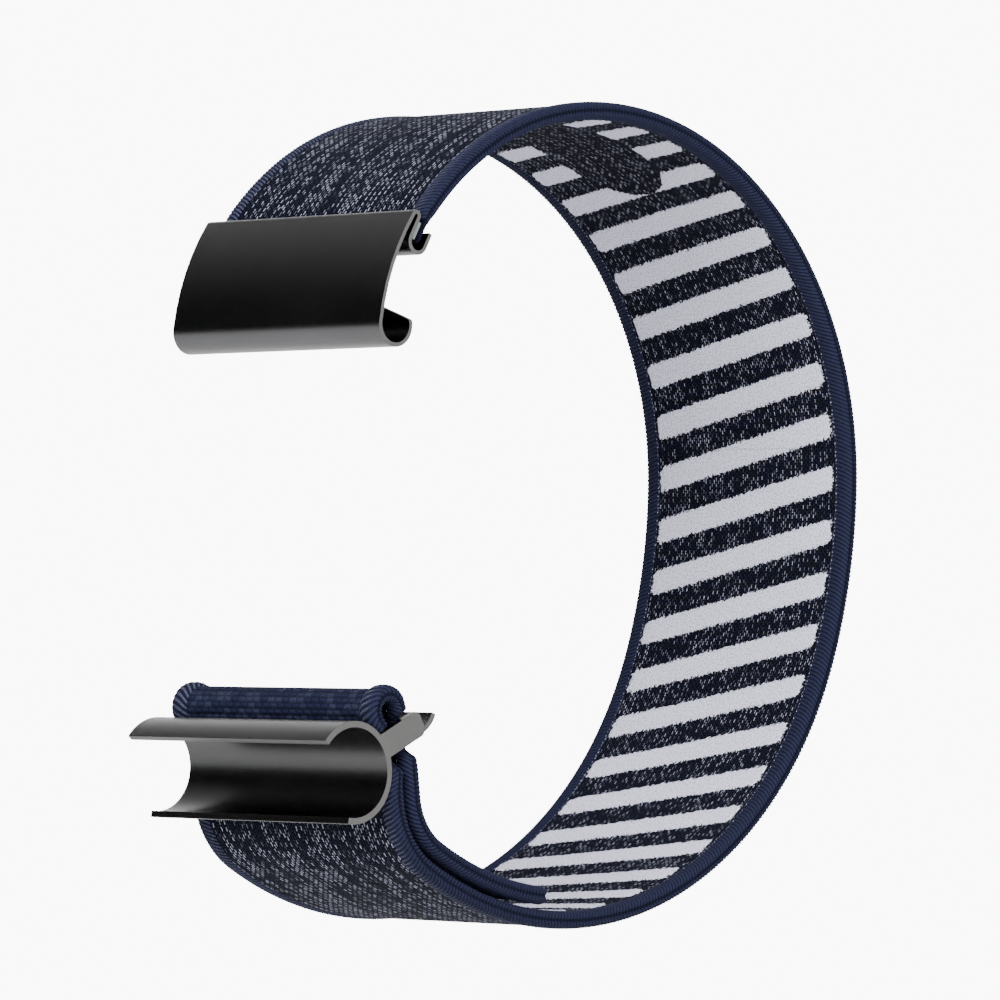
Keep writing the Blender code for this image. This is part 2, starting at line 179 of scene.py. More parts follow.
@dataclass(frozen=True)
class Run:
    """A straight or circular stretch of a route.

    Its bend is 1 / radius, positive to the left.
    """

    point: Point
    heading: float
    length: float
    bend: float

    def step(self, distance: float) -> tuple[float, float, float]:
        """Finds where a distance along the run leads.

        Args:
            distance: Length from the run's start.

        Returns:
            The point's x and z, and the heading there in radians.
        """
        x, z = self.point
        turned = self.heading + self.bend * distance
        if not self.bend:
            return (
                x + distance * math.cos(turned),
                z + distance * math.sin(turned),
                turned,
            )
        return (
            x + (math.sin(turned) - math.sin(self.heading)) / self.bend,
            z - (math.cos(turned) - math.cos(self.heading)) / self.bend,
            turned,
        )


class Route:
    """A route in the XZ plane made of straight runs and tangent arcs."""

    def __init__(self, x: float, z: float, heading: float) -> None:
        """Starts the route at a point, with its heading in degrees."""
        self.runs: list[Run] = []
        self.point: Point = (x, z)
        self.heading = math.radians(heading)

    def _add(self, length: float, bend: float) -> Route:
        """Adds a run and moves the route's end to the end of it."""
        run = Run(self.point, self.heading, length, bend)
        x, z, self.heading = run.step(length)
        self.point = (x, z)
        self.runs.append(run)
        return self

    def line(self, length: float) -> Route:
        """Adds a straight run."""
        return self._add(length, 0.0)

    def arc(self, radius: float, turn: float) -> Route:
        """Adds an arc that turns left through a positive angle in degrees."""
        angle = math.radians(turn)
        return self._add(radius * abs(angle), math.copysign(1 / radius, angle))

    def beside(self, offset: float) -> Point:
        """Returns the point at an offset to the left of the route's end."""
        return (
            self.point[0] - offset * math.sin(self.heading),
            self.point[1] + offset * math.cos(self.heading),
        )

    def wind(self, radius: float, centre: Point, next_radius: float) -> Route:
        """Turns at a signed radius until a straight run touches the next circle.

        Args:
            radius: Radius of the turn, positive to the left.
            centre: Centre of the circle that the straight run ends on.
            next_radius: Signed radius of that circle.

        Returns:
            The route itself.
        """
        own = self.beside(radius)
        reach = (centre[0] - own[0], centre[1] - own[1])
        across = next_radius - radius
        along = math.sqrt(reach[0] ** 2 + reach[1] ** 2 - across**2)
        leaving = math.atan2(reach[1], reach[0]) - math.atan2(across, along)
        turn = leaving - self.heading
        full = 2 * math.pi
        turn = turn % full if radius > 0 else -(-turn % full)
        if full - abs(turn) > math.radians(1) and turn:
            self.arc(abs(radius), math.degrees(turn))
        return self.line(along)

    def length(self) -> float:
        """Returns the whole length of the route."""
        return sum(run.length for run in self.runs)

    def stations(self, turn: float) -> list[tuple[float, float, float]]:
        """Walks the route in steps short enough to look round.

        Args:
            turn: Largest turn of one step, in degrees.

        Returns:
            x, z and the heading at each step.
        """
        found = []
        for run in self.runs:
            steps = max(1, math.ceil(abs(math.degrees(run.length * run.bend)) / turn))
            found += [run.step(run.length * i / steps) for i in range(steps)]
        last = self.runs[-1]
        return found + [last.step(last.length)]

    def at(self, distance: float) -> tuple[float, float, float]:
        """Returns x, z and the heading at a distance along the route."""
        for run in self.runs:
            if distance <= run.length:
                return run.step(distance)
            distance -= run.length
        return self.runs[-1].step(self.runs[-1].length + distance)


def polar(centre: Point, distance: float, angle: float) -> Point:
    """Returns the point at a distance and an angle in degrees from a centre."""
    turned = math.radians(angle)
    return (
        centre[0] + distance * math.cos(turned),
        centre[1] + distance * math.sin(turned),
    )


def smooth(low: float, high: float, value: np.ndarray | float) -> np.ndarray:
    """Returns a smooth step from 0 at low to 1 at high."""
    t = np.clip((np.asarray(value, float) - low) / (high - low), 0.0, 1.0)
    return t * t * (3 - 2 * t)


@dataclass
class StrapPath:
    """The strap's middle line, with the sizes that the solids were built to."""

    crimp: tuple[float, float, float] = (-21.4, 21.2, 60.0)
    crimp_run: float = 1.0
    loop_arcs: tuple[Point, ...] = (
        (6.5, 9.4),
        (22.2, 37.3),
        (25.3, 104.4),
        (38.1, 20.2),
        (27.8, 99.6),
    )
    corner_radius: float = 6.3
    corner_turn: float = 63.3
    entry_run: float = 0.56
    channel_radius: float = 3.5
    clearance: float = 0.1
    fold_thickness: float = 0.8
    hump_radius: float = 1.1
    hump_angle: float = 57.4
    hump_clearance: float = 0.08
    pin_diameter: float = 0.7
    pin_angle: float = 33.6
    tail_offset: float = 1.6
    tail_root_run: float = 2.1
    fold_lead: float = 2.2
    tail_length: float = 16.6
    route: Route = field(init=False)

    def __post_init__(self) -> None:
        """Lays the route and places it in the frame by the cross pin."""
        route = Route(*self.crimp).line(self.crimp_run)
        for radius, turn in self.loop_arcs:
            route.arc(radius, -turn)
        corner = route.beside(-self.corner_radius)
        half = self.fold_thickness / 2
        round_channel = self.channel_radius + self.clearance + half
        round_pin = self.pin_diameter / 2 + self.clearance + half
        route.arc(self.corner_radius, -self.corner_turn).line(self.entry_run)
        self.entry = route.length()
        self.fold_start = self.entry - self.fold_lead
        channel = route.beside(round_channel)
        lean = math.degrees(route.heading) % 360 - 90
        self.channel, self.lean = channel, lean
        to_hump = round_channel + self.hump_radius + self.hump_clearance
        hump = polar(channel, to_hump, self.hump_angle + lean)
        to_pin = round_channel + half + self.clearance + self.pin_diameter / 2
        pin = polar(channel, to_pin, self.pin_angle + lean)
        self.pin = pin
        route.wind(round_channel, hump, -self.hump_radius)
        route.wind(-self.hump_radius, pin, -round_pin)
        self.hump_top = route.length() - route.runs[-1].length
        self.hump_top -= route.runs[-2].length / 2
        tail_corner = self.corner_radius - self.tail_offset
        route.wind(-round_pin, corner, tail_corner)
        self.at_pin = route.length() - route.runs[-1].length
        self.tail_start = self.at_pin + self.tail_root_run
        loop_turn = sum(turn for _, turn in self.loop_arcs)
        back = math.pi + math.radians(self.crimp[2] - loop_turn)
        turn = math.degrees((back - route.heading) % (2 * math.pi))
        route.arc(tail_corner, turn)
        route.arc(self.loop_arcs[-1][0] - self.tail_offset, 90.0)
        self.tail_end = self.tail_start + self.tail_length
        self.route = route
        low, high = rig.box("cross_pin")
        middle = (low + high) / (2 * MM)
        self.shift = (middle.x - pin[0], middle.z - pin[1])

    def frames(self, stations: np.ndarray) -> tuple[np.ndarray, np.ndarray]:
        """Finds the middle line's points and outward normals in the frame.

        Args:
            stations: Distances along the strap.

        Returns:
            Points and normals, each an array of x and z by station.
        """
        found = np.array([self.route.at(float(s)) for s in stations])
        points = found[:, :2] + np.array(self.shift)
        normals = np.stack([-np.sin(found[:, 2]), np.cos(found[:, 2])], axis=1)
        return points, normals

    def place(self, station: float) -> tuple[float, float, float]:
        """Returns a point of the middle line in metres, on the band's middle plane."""
        points, _ = self.frames(np.array([station]))
        x, z = points[0]
        return (x * MM, 0.0, z * MM)


@dataclass
class StrapShape:
    """How wide and thick the strap is along its length."""

    path: StrapPath
    half_width: float = 10.3
    slot_half_width: float = 9.32
    half_thickness: float = 0.5
    binding_half_width: float = 0.80
    binding_half_thickness: float = 0.60
    past_entry: float = 2.0
    before_pin: float = 0.1
    slot_reach: float = 1.0
    slot_fade: float = 0.8
    fold_fade: tuple[float, float] = (-1.4, -0.2)
    tail_fade: tuple[float, float] = (-0.9, 0.5)
    mouth: float = 1.72
    mouth_fade: float = 1.4
    pressed: float = 0.80
    folded: float = 0.76
    crown: float = 0.20
    crown_reach: float = 1.3
    crown_fade: float = 1.5
    gathered: float = 0.84

    def in_slot(self, stations: np.ndarray) -> np.ndarray:
        """Returns 1 where the strap passes between the clip's arms, and 0 elsewhere."""
        crossings = (
            self.path.entry + self.past_entry,
            self.path.at_pin - self.before_pin,
        )
        squeezed = np.zeros_like(stations, float)
        for crossing in crossings:
            away = np.abs(stations - crossing)
            fade = 1 - smooth(self.slot_reach, self.slot_reach + self.slot_fade, away)
            squeezed = np.maximum(squeezed, fade)
        return squeezed

    def width(self, stations: np.ndarray) -> np.ndarray:
        """Returns the strap's half width at each station."""
        lost = self.half_width - self.slot_half_width
        return self.half_width - lost * self.in_slot(stations)

    def in_fold(self, stations: np.ndarray) -> np.ndarray:
        """Returns 1 between the lower clip and the tail's root, and 0 elsewhere."""
        begun = smooth(*self.fold_fade, stations - self.path.entry)
        left = smooth(*self.tail_fade, stations - self.path.tail_start)
        return begun * (1 - left)

    def crowning(self, stations: np.ndarray) -> np.ndarray:
        """Returns how far the bindings stand proud where they bend over the fold's top."""
        away = np.abs(stations - self.path.hump_top)
        end = self.crown_reach + self.crown_fade
        return self.crown * (1 - smooth(self.crown_reach, end, away))

    def fullness(self, stations: np.ndarray) -> np.ndarray:
        """Returns the share of its full thickness that the strap has at each station."""
        crimped = smooth(self.mouth, self.mouth + self.mouth_fade, stations)
        full = self.pressed + (1 - self.pressed) * crimped
        full *= 1 - (1 - self.folded) * self.in_fold(stations)
        return full * (1 - (1 - self.gathered) * self.in_slot(stations))


# --- Meshes ---------------------------------------------------------------------------


@dataclass
class Skin:
    """A grid of points by station and column, ready to become a closed tube."""

    points: np.ndarray
    uv: np.ndarray
    masks: dict[str, np.ndarray] = field(default_factory=dict)

    def build(self, name: str) -> bpy.types.Object:
        """Makes the tube, whose columns close on themselves and whose ends have caps.

        Args:
            name: Name of the new object.

        Returns:
            The object, with a UV map in millimetres and its masks as attributes.
        """
        rows, columns = self.points.shape[:2]
        index = np.arange(rows * columns).reshape(rows, columns)
        right = np.roll(index, -1, axis=1)
        quads = np.stack([index[:-1], right[:-1], right[1:], index[1:]], axis=-1)
        quads = quads.reshape(-1, 4)
        first = index[0][::-1].tolist()
        last = index[-1].tolist()
        mesh = bpy.data.meshes.new(name)
        vertices = self.points.reshape(-1, 3) * MM
        mesh.from_pydata(vertices, [], quads.tolist() + [first, last])
        corner = np.arange(columns)
        low, high = self.uv[:, corner], self.uv[:, corner + 1]
        loops = np.stack([low[:-1], high[:-1], high[1:], low[1:]], axis=2)
        caps = np.concatenate([self.uv[0, corner][::-1], self.uv[-1, corner]])
        layer = mesh.uv_layers.new(name="strap")
        flat = np.concatenate([loops.reshape(-1, 2), caps]).astype(np.float32)
        layer.data.foreach_set("uv", flat.ravel())
        for mask, values in self.masks.items():
            attribute = mesh.attributes.new(mask, "FLOAT", "POINT")
            attribute.data.foreach_set("value", values.astype(np.float32).ravel())
        mesh.shade_smooth()
        mesh.update()
        made = bpy.data.objects.new(name, mesh)
        bpy.context.scene.collection.objects.link(made)
        face_out(made)
        return made


def face_out(piece: bpy.types.Object) -> None:
    """Turns a closed mesh so that its faces look outwards."""
    work = bmesh.new()
    work.from_mesh(piece.data)
    if work.calc_volume(signed=True) < 0:
        bmesh.ops.reverse_faces(work, faces=work.faces)
        work.to_mesh(piece.data)
    work.free()


def dress(piece: bpy.types.Object, *finishes: bpy.types.Material) -> None:
    """Gives a piece its materials in order."""
    for finish in finishes:
        piece.data.materials.append(finish)


def rounded_section(
    columns: int, side: float, face: float
) -> tuple[np.ndarray, np.ndarray, np.ndarray]:
    """Draws a closed section between an oval and a rectangle.

    Args:
        columns: Number of its columns.
        side: How round its sides are, 1 for an oval and 0 for upright sides.
        face: How round its faces are, likewise.

    Returns:
        Each column's angle, its place across and its height, the last as the first.
    """
    turn = np.linspace(0.0, 2 * math.pi, columns + 1)
    cosine = np.sign(np.cos(turn)) * np.abs(np.cos(turn)) ** side
    sine = np.sign(np.sin(turn)) * np.abs(np.sin(turn)) ** face
    return turn, cosine, sine


def stations_between(start: float, end: float, spacing: float) -> np.ndarray:
    """Returns evenly spaced distances from start to end."""
    return np.linspace(start, end, max(2, round((end - start) / spacing) + 1))


# --- Node trees -----------------------------------------------------------------------


class Graph:
    """Adds nodes to one node tree and wires them."""

    def __init__(self, tree: bpy.types.NodeTree) -> None:
        """Keeps the tree that the nodes go in."""
        self.tree = tree

    def wire(self, value: object, socket: bpy.types.NodeSocket) -> None:
        """Links an output to a socket, or sets the socket to a plain value."""
        if isinstance(value, bpy.types.NodeSocket):
            self.tree.links.new(value, socket)
        else:
            socket.default_value = value

    def node(
        self, kind: str, inputs: dict[str | int, object] | None = None, **settings: object
    ) -> bpy.types.Node:
        """Adds a node.

        Args:
            kind: Node type without its ShaderNode prefix.
            inputs: Values or outputs for its sockets.
            settings: Values for its properties.

        Returns:
            The new node.
        """
        made = self.tree.nodes.new("ShaderNode" + kind)
        for name, value in settings.items():
            setattr(made, name, value)
        for key, value in (inputs or {}).items():
            self.wire(value, made.inputs[key])
        return made

    def math(self, operation: str, *values: object, clamp: bool = False) -> object:
        """Adds a Math node and returns its output."""
        inputs = dict(enumerate(values))
        made = self.node("Math", inputs, operation=operation, use_clamp=clamp)
        return made.outputs[0]

    def step(self, low: float, high: float, value: object) -> object:
        """Returns a smooth step of a value from 0 at low to 1 at high."""
        inputs = {"Value": value, "From Min": low, "From Max": high}
        made = self.node("MapRange", inputs, interpolation_type="SMOOTHSTEP")
        return made.outputs["Result"]

    def mix(self, share: object, first: object, second: object) -> object:
        """Returns one colour mixed into another by a share."""
        made = self.node("Mix", data_type="RGBA")
        self.wire(share, made.inputs["Factor"])
        self.wire(first, made.inputs[6])
        self.wire(second, made.inputs[7])
        return made.outputs[2]

    def group(self, tree: bpy.types.NodeTree, **inputs: object) -> bpy.types.Node:
        """Places a shared group with its own values."""
        made = self.node("Group", node_tree=tree)
        for name, value in inputs.items():
            self.wire(value, made.inputs[name.replace("_", " ")])
        return made


class Effect:
    """A node group being built, with named inputs and outputs."""

    def __init__(self, name: str, inputs: dict[str, float], outputs: Iterable[str]) -> None:
        """Makes the group with float sockets.

        Args:
            name: Name of the group.
            inputs: Its inputs and their usual values.
            outputs: Its outputs.
        """
        self.tree = bpy.data.node_groups.new(name, "ShaderNodeTree")
        for socket, value in inputs.items():
            made = self.tree.interface.new_socket(
                socket, in_out="INPUT", socket_type="NodeSocketFloat"
            )
            made.default_value = value
        for socket in outputs:
            self.tree.interface.new_socket(
                socket, in_out="OUTPUT", socket_type="NodeSocketFloat"
            )
        self.graph = Graph(self.tree)
        self.source = self.tree.nodes.new("NodeGroupInput")
        self.result = self.tree.nodes.new("NodeGroupOutput")

    def get(self, name: str) -> object:
        """Returns one of the group's inputs."""
        return self.source.outputs[name]

    def put(self, name: str, value: object) -> None:
        """Feeds one of the group's outputs."""
        self.graph.wire(value, self.result.inputs[name])


def yarn_cells() -> bpy.types.NodeTree:
    """Builds the group that lays staggered yarn floats over a cloth.

    Returns:
        A group from places in millimetres to each float's shade, its relief, and the
        streaks that uneven yarn leaves along the cloth.
    """
    effect = Effect(
        "yarn_cells",
        {
            "Along": 0.0,
            "Across": 0.0,
            "Float": 0.8,
            "Pitch": 0.36,
            "Seed": 0.0,
            "Jitter": 0.2,
        },
        ("Shade", "Relief", "Streak"),
    )
    graph = effect.graph
    rows = graph.math("DIVIDE", effect.get("Across"), effect.get("Pitch"))
    row = graph.math("FLOOR", rows)
    in_row = graph.math("FRACT", rows)
    seeded = graph.math("ADD", row, effect.get("Seed"))
    start = graph.node("TexWhiteNoise", {"W": seeded}, noise_dimensions="1D")
    jitter = graph.math("MULTIPLY", start.outputs["Value"], effect.get("Jitter"))
    shift = graph.math("ADD", graph.math("MULTIPLY", seeded, 0.5), jitter)
    floats = graph.math("DIVIDE", effect.get("Along"), effect.get("Float"))
    floats = graph.math("ADD", floats, shift)
    column = graph.math("FLOOR", floats)
    in_float = graph.math("FRACT", floats)
    cell = graph.node("CombineXYZ", {"X": column, "Y": seeded})
    shade = graph.node(
        "TexWhiteNoise", {"Vector": cell.outputs[0]}, noise_dimensions="2D"
    )
    streak = graph.node(
        "CombineXYZ",
        {"X": graph.math("MULTIPLY", effect.get("Along"), 0.11), "Y": seeded},
    )
    streak = graph.node(
        "TexNoise",
        {"Vector": streak.outputs[0], "Scale": 1.3, "Detail": 1.0},
        noise_dimensions="2D",
    )
    away = graph.math("ABSOLUTE", graph.math("SUBTRACT", in_row, 0.5))
    round_row = graph.math("SUBTRACT", 1.0, graph.step(0.08, 0.46, away))
    end = graph.math("ABSOLUTE", graph.math("SUBTRACT", in_float, 0.5))
    round_end = graph.math("SUBTRACT", 1.0, graph.step(0.22, 0.50, end))
    effect.put("Shade", shade.outputs["Value"])
    effect.put("Relief", graph.math("MULTIPLY", round_row, round_end))
    effect.put("Streak", streak.outputs[0])
    return effect.tree


def fibre_fuzz() -> bpy.types.NodeTree:
    """Builds the group that scatters fine fibre noise over a cloth.

    Returns:
        A group from places in millimetres to fine and broad mottling around 0.5.
    """
    effect = Effect(
        "fibre_fuzz",
        {"Along": 0.0, "Across": 0.0, "Fine": 9.0, "Broad": 0.6},
        ("Fine", "Broad"),
    )
    graph = effect.graph
    place = graph.node(
        "CombineXYZ", {"X": effect.get("Along"), "Y": effect.get("Across")}
    )
    for name, detail in (("Fine", 3.0), ("Broad", 1.5)):
        inputs = {
            "Vector": place.outputs[0],
            "Scale": effect.get(name),
            "Detail": detail,
        }
        found = graph.node("TexNoise", inputs, noise_dimensions="2D")
        effect.put(name, found.outputs[0])
    return effect.tree


def sheet_grain() -> bpy.types.NodeTree:
    """Builds the group that wears a metal surface with fine lengthwise grain.

    Returns:
        A group from a place in metres to grain, faint scratches and broad smudges.
    """
    effect = Effect(
        "sheet_grain", {"X": 0.0, "Y": 0.0, "Z": 0.0}, ("Grain", "Scratch", "Smudge")
    )
    graph = effect.graph
    place = graph.node("CombineXYZ", {axis: effect.get(axis) for axis in "XYZ"})
    for name, scale, stretch in (
        ("Grain", 9000.0, 0.06),
        ("Scratch", 2600.0, 0.02),
        ("Smudge", 140.0, 0.6),
    ):
        pulled = graph.node(
            "Mapping", {"Vector": place.outputs[0], "Scale": (1.0, stretch, 1.0)}
        )
        inputs = {"Vector": pulled.outputs[0], "Scale": scale, "Detail": 2.0}
        found = graph.node("TexNoise", inputs)
        effect.put(name, found.outputs[0])
    return effect.tree


# --- Finishes -------------------------------------------------------------------------

Colour = tuple[float, float, float, float]


@dataclass(frozen=True)
class Effects:
    """The shared node groups."""

    yarn: bpy.types.NodeTree
    fuzz: bpy.types.NodeTree
    grain: bpy.types.NodeTree


def bare_material(name: str) -> tuple[bpy.types.Material, Graph, bpy.types.Node]:
    """Makes a material and returns it with its graph and its Principled shader."""
    made = bpy.data.materials.new(name)
    made.use_nodes = True
    return made, Graph(made.node_tree), made.node_tree.nodes["Principled BSDF"]


def strap_place(graph: Graph) -> tuple[object, object]:
    """Returns the places along and across the strap, in millimetres."""
    uv = graph.node("UVMap", uv_map="strap")
    parts = graph.node("SeparateXYZ", {0: uv.outputs[0]})
    return parts.outputs[0], parts.outputs[1]


def raise_surface(
    graph: Graph, shader: bpy.types.Node, height: object, distance: float
) -> None:
    """Bumps a shader's normal by a height from 0 to 1 over a distance in metres."""
    bump = graph.node("Bump", {"Height": height, "Strength": 1.0, "Distance": distance})
    graph.wire(bump.outputs[0], shader.inputs["Normal"])


def soft_cloth(shader: bpy.types.Node, sheen: float, tint: Colour) -> None:
    """Sets the constants that every cloth shares."""
    shader.inputs["Specular IOR Level"].default_value = 0.03
    shader.inputs["Sheen Weight"].default_value = sheen
    shader.inputs["Sheen Roughness"].default_value = 0.5
    shader.inputs["Sheen Tint"].default_value = tint


@dataclass(frozen=True)
class Melange:
    """Navy and black yarn with light floats in broken rows along the strap; the black in the gaps between floats is
    painted shade.
    """

    # Near black of the gaps between floats and of the folded weave's grooves: painted shade.
    dark: Colour = (0.0012, 0.0015, 0.0035, 1.0)
    navy: Colour = (0.0042, 0.0054, 0.0140, 1.0)
    light: Colour = (0.25, 0.26, 0.34, 1.0)
    plain: Colour = (0.0080, 0.0094, 0.0230, 1.0)
    plain_light: Colour = (0.024, 0.027, 0.050, 1.0)
    light_share: float = 0.56
    float_length: float = 0.50
    pitch: float = 0.25
    streaks: float = 2.1

    def yarn(self, graph: Graph, effects: Effects) -> tuple[object, object]:
        """Lays the melange.

        Args:
            graph: The material's graph.
            effects: The shared groups.

        Returns:
            Its colour and its relief from 0 to 1.
        """
        along, across = strap_place(graph)
        cells = graph.group(
            effects.yarn,
            Along=along,
            Across=across,
            Float=self.float_length,
            Pitch=self.pitch,
        )
        fuzz = graph.group(effects.fuzz, Along=along, Across=across)
        streak = graph.math("SUBTRACT", cells.outputs["Streak"], 0.5)
        streak = graph.math("MULTIPLY", streak, self.streaks)
        broad = graph.math("SUBTRACT", fuzz.outputs["Broad"], 0.5)
        broad = graph.math("MULTIPLY", broad, 0.35)
        level = graph.math("ADD", cells.outputs["Shade"], streak)
        level = graph.math("ADD", level, broad)
        cut = 1.0 - self.light_share
        lit = graph.step(cut - 0.15, cut + 0.65, level)
        # The light yarn shows on each float's crown and fades into the ground towards the gaps.
        lit_crown = graph.step(0.35, 0.90, cells.outputs["Relief"])
        lit = graph.math("MULTIPLY", lit, lit_crown)
        broken = graph.step(0.30, 0.55, fuzz.outputs["Fine"])
        lit = graph.math("MULTIPLY", lit, broken)
        # Painted shade: the ground is navy on each float's crown and near black in the gaps between floats.
        navy = graph.step(0.15, 0.95, cells.outputs["Relief"])
        ground = graph.mix(navy, self.dark, self.navy)
        colour = graph.mix(lit, ground, self.light)
        mottle = graph.math("MULTIPLY", fuzz.outputs["Fine"], 0.35)
        relief = graph.math("ADD", cells.outputs["Relief"], mottle)
        return colour, relief

    def plain_yarn(self, graph: Graph, effects: Effects) -> tuple[object, object]:
        """Lays the coarse plain navy weave of the folded end.

        Args:
            graph: The material's graph.
            effects: The shared groups.

        Returns:
            Its colour and its relief from 0 to 1.
        """
        along, across = strap_place(graph)
        cells = graph.group(
            effects.yarn,
            Along=across,
            Across=along,
            Float=0.74,
            Pitch=0.33,
            Seed=40.0,
            Jitter=0.75,
        )
        fuzz = graph.group(effects.fuzz, Along=along, Across=across, Fine=6.0)
        shade = graph.step(0.35, 0.95, cells.outputs["Shade"])
        shade = graph.math("MULTIPLY", shade, fuzz.outputs["Fine"])
        deep = graph.mix(shade, self.plain, self.plain_light)
        # Painted shade: the weave darkens to near black in the grooves between its floats and keeps its own tone on
        # the crowns.
        lit_crown = graph.math("ADD", cells.outputs["Relief"], 0.52, clamp=True)
        relief = graph.math("MULTIPLY", cells.outputs["Relief"], 0.8)
        relief = graph.math("ADD", relief, fuzz.outputs["Fine"])
        return graph.mix(lit_crown, self.dark, deep), relief

    def build(self, effects: Effects) -> bpy.types.Material:
        """Makes the outer weave's material."""
        made, graph, shader = bare_material("melange_weave")
        colour, relief = self.yarn(graph, effects)
        plain, plain_relief = self.plain_yarn(graph, effects)
        mask = graph.node("Attribute", attribute_name="plain").outputs["Fac"]
        graph.wire(graph.mix(mask, colour, plain), shader.inputs["Base Color"])
        kept = graph.math("SUBTRACT", 1.0, mask)
        height = graph.math("MULTIPLY", relief, kept)
        folded = graph.math("MULTIPLY", plain_relief, mask)
        raise_surface(graph, shader, graph.math("ADD", height, folded), 0.00012)
        shader.inputs["Roughness"].default_value = 0.85
        soft_cloth(shader, 0.01, (0.5, 0.55, 0.8, 1.0))
        return made


@dataclass(frozen=True)
class PileLining:
    """Light brushed pile stripes on a dark melange ground."""

    ground: Melange = Melange(
        light_share=0.44, float_length=0.44, pitch=0.21, streaks=0.7
    )
    pile: Colour = (0.50, 0.50, 0.59, 1.0)
    pile_deep: Colour = (0.27, 0.27, 0.35, 1.0)
    stitch: Colour = (0.34, 0.36, 0.46, 1.0)
    stitch_at: float = 9.14
    stitch_gap: float = 0.13
    stitch_half: float = 0.045
    stitch_pitch: float = 0.62

    def build(self, effects: Effects) -> bpy.types.Material:
        """Makes the lining's material."""
        made, graph, shader = bare_material("pile_lining")
        along, across = strap_place(graph)
        ground, relief = self.ground.yarn(graph, effects)
        fuzz = graph.group(effects.fuzz, Along=along, Across=across, Fine=7.0)
        mask = graph.node("Attribute", attribute_name="pile").outputs["Fac"]
        ragged = graph.math("SUBTRACT", fuzz.outputs["Fine"], 0.5)
        ragged = graph.math("ADD", mask, graph.math("MULTIPLY", ragged, 1.5))
        stripe = graph.step(0.36, 0.64, ragged)
        tuft = graph.mix(
            graph.step(0.30, 0.62, fuzz.outputs["Fine"]), self.pile_deep, self.pile
        )
        colour = graph.mix(stripe, ground, tuft)
        aside = graph.math("SUBTRACT", graph.math("ABSOLUTE", across), self.stitch_at)
        aside = graph.math("ABSOLUTE", aside)
        line = graph.math("COMPARE", aside, self.stitch_gap, self.stitch_half)
        beat = graph.math("FRACT", graph.math("DIVIDE", along, self.stitch_pitch))
        stitch = graph.math("MULTIPLY", line, graph.math("LESS_THAN", beat, 0.78))
        graph.wire(graph.mix(stitch, colour, self.stitch), shader.inputs["Base Color"])
        bare = graph.math("SUBTRACT", 1.0, stripe)
        height = graph.math("MULTIPLY", relief, bare)
        tufts = graph.math("MULTIPLY", fuzz.outputs["Fine"], stripe)
        height = graph.math("ADD", height, graph.math("ADD", tufts, stitch))
        raise_surface(graph, shader, height, 0.00012)
        shader.inputs["Roughness"].default_value = 0.95
        soft_cloth(shader, 0.01, (0.8, 0.8, 0.9, 1.0))
        return made


@dataclass(frozen=True)
class NavyBinding:
    """Overlocked edge in navy thread, with painted shade in its grooves and a painted highlight on the rib tops of its
    outer face.
    """

    thread: Colour = (0.0102, 0.0114, 0.0250, 1.0)
    # Painted shade in the grooves between ribs.
    groove: Colour = (0.0030, 0.0035, 0.0085, 1.0)
    # Painted highlight on the rib tops of the outer face.
    lit_crown: Colour = (0.070, 0.074, 0.108, 1.0)

    def build(self, effects: Effects) -> bpy.types.Material:
        """Makes the binding's material."""
        made, graph, shader = bare_material("navy_binding")
        along, across = strap_place(graph)
        fuzz = graph.group(effects.fuzz, Along=along, Across=across, Fine=14.0)
        ridge = graph.node("Attribute", attribute_name="ridge").outputs["Fac"]
        rim = graph.node("Attribute", attribute_name="rim").outputs["Fac"]
        # Painted shade: darker in the grooves between ribs.
        colour = graph.mix(graph.step(0.25, 0.85, ridge), self.groove, self.thread)
        # Painted highlight: lighter rib tops on the outer face, broken by strands.
        rim = graph.math("MULTIPLY", rim, 0.75)
        top = graph.math("MULTIPLY", graph.step(0.6, 1.0, ridge), rim)
        strand = graph.step(0.30, 0.6, fuzz.outputs["Fine"])
        top = graph.math("MULTIPLY", top, strand)
        graph.wire(graph.mix(top, colour, self.lit_crown), shader.inputs["Base Color"])
        raise_surface(graph, shader, fuzz.outputs["Fine"], 0.00004)
        shader.inputs["Roughness"].default_value = 0.72
        soft_cloth(shader, 0.01, (0.45, 0.5, 0.85, 1.0))
        return made


@dataclass(frozen=True)
class HookTape:
    """Black moulded hooks on a black tape."""

    black: Colour = (0.008, 0.008, 0.009, 1.0)
    dusty: Colour = (0.030, 0.030, 0.034, 1.0)

    def build(self, effects: Effects) -> bpy.types.Material:
        """Makes the hook tape's material."""
        made, graph, shader = bare_material("black_hook_tape")
        place = graph.node("TexCoord").outputs["Object"]
        parts = graph.node("SeparateXYZ", {0: place})
        fuzz = graph.group(
            effects.fuzz,
            Along=parts.outputs[0],
            Across=parts.outputs[1],
            Fine=2500.0,
            Broad=300.0,
        )
        colour = graph.mix(fuzz.outputs["Broad"], self.black, self.dusty)
        graph.wire(colour, shader.inputs["Base Color"])
        raise_surface(graph, shader, fuzz.outputs["Fine"], 0.00003)
        shader.inputs["Roughness"].default_value = 0.55
        return made


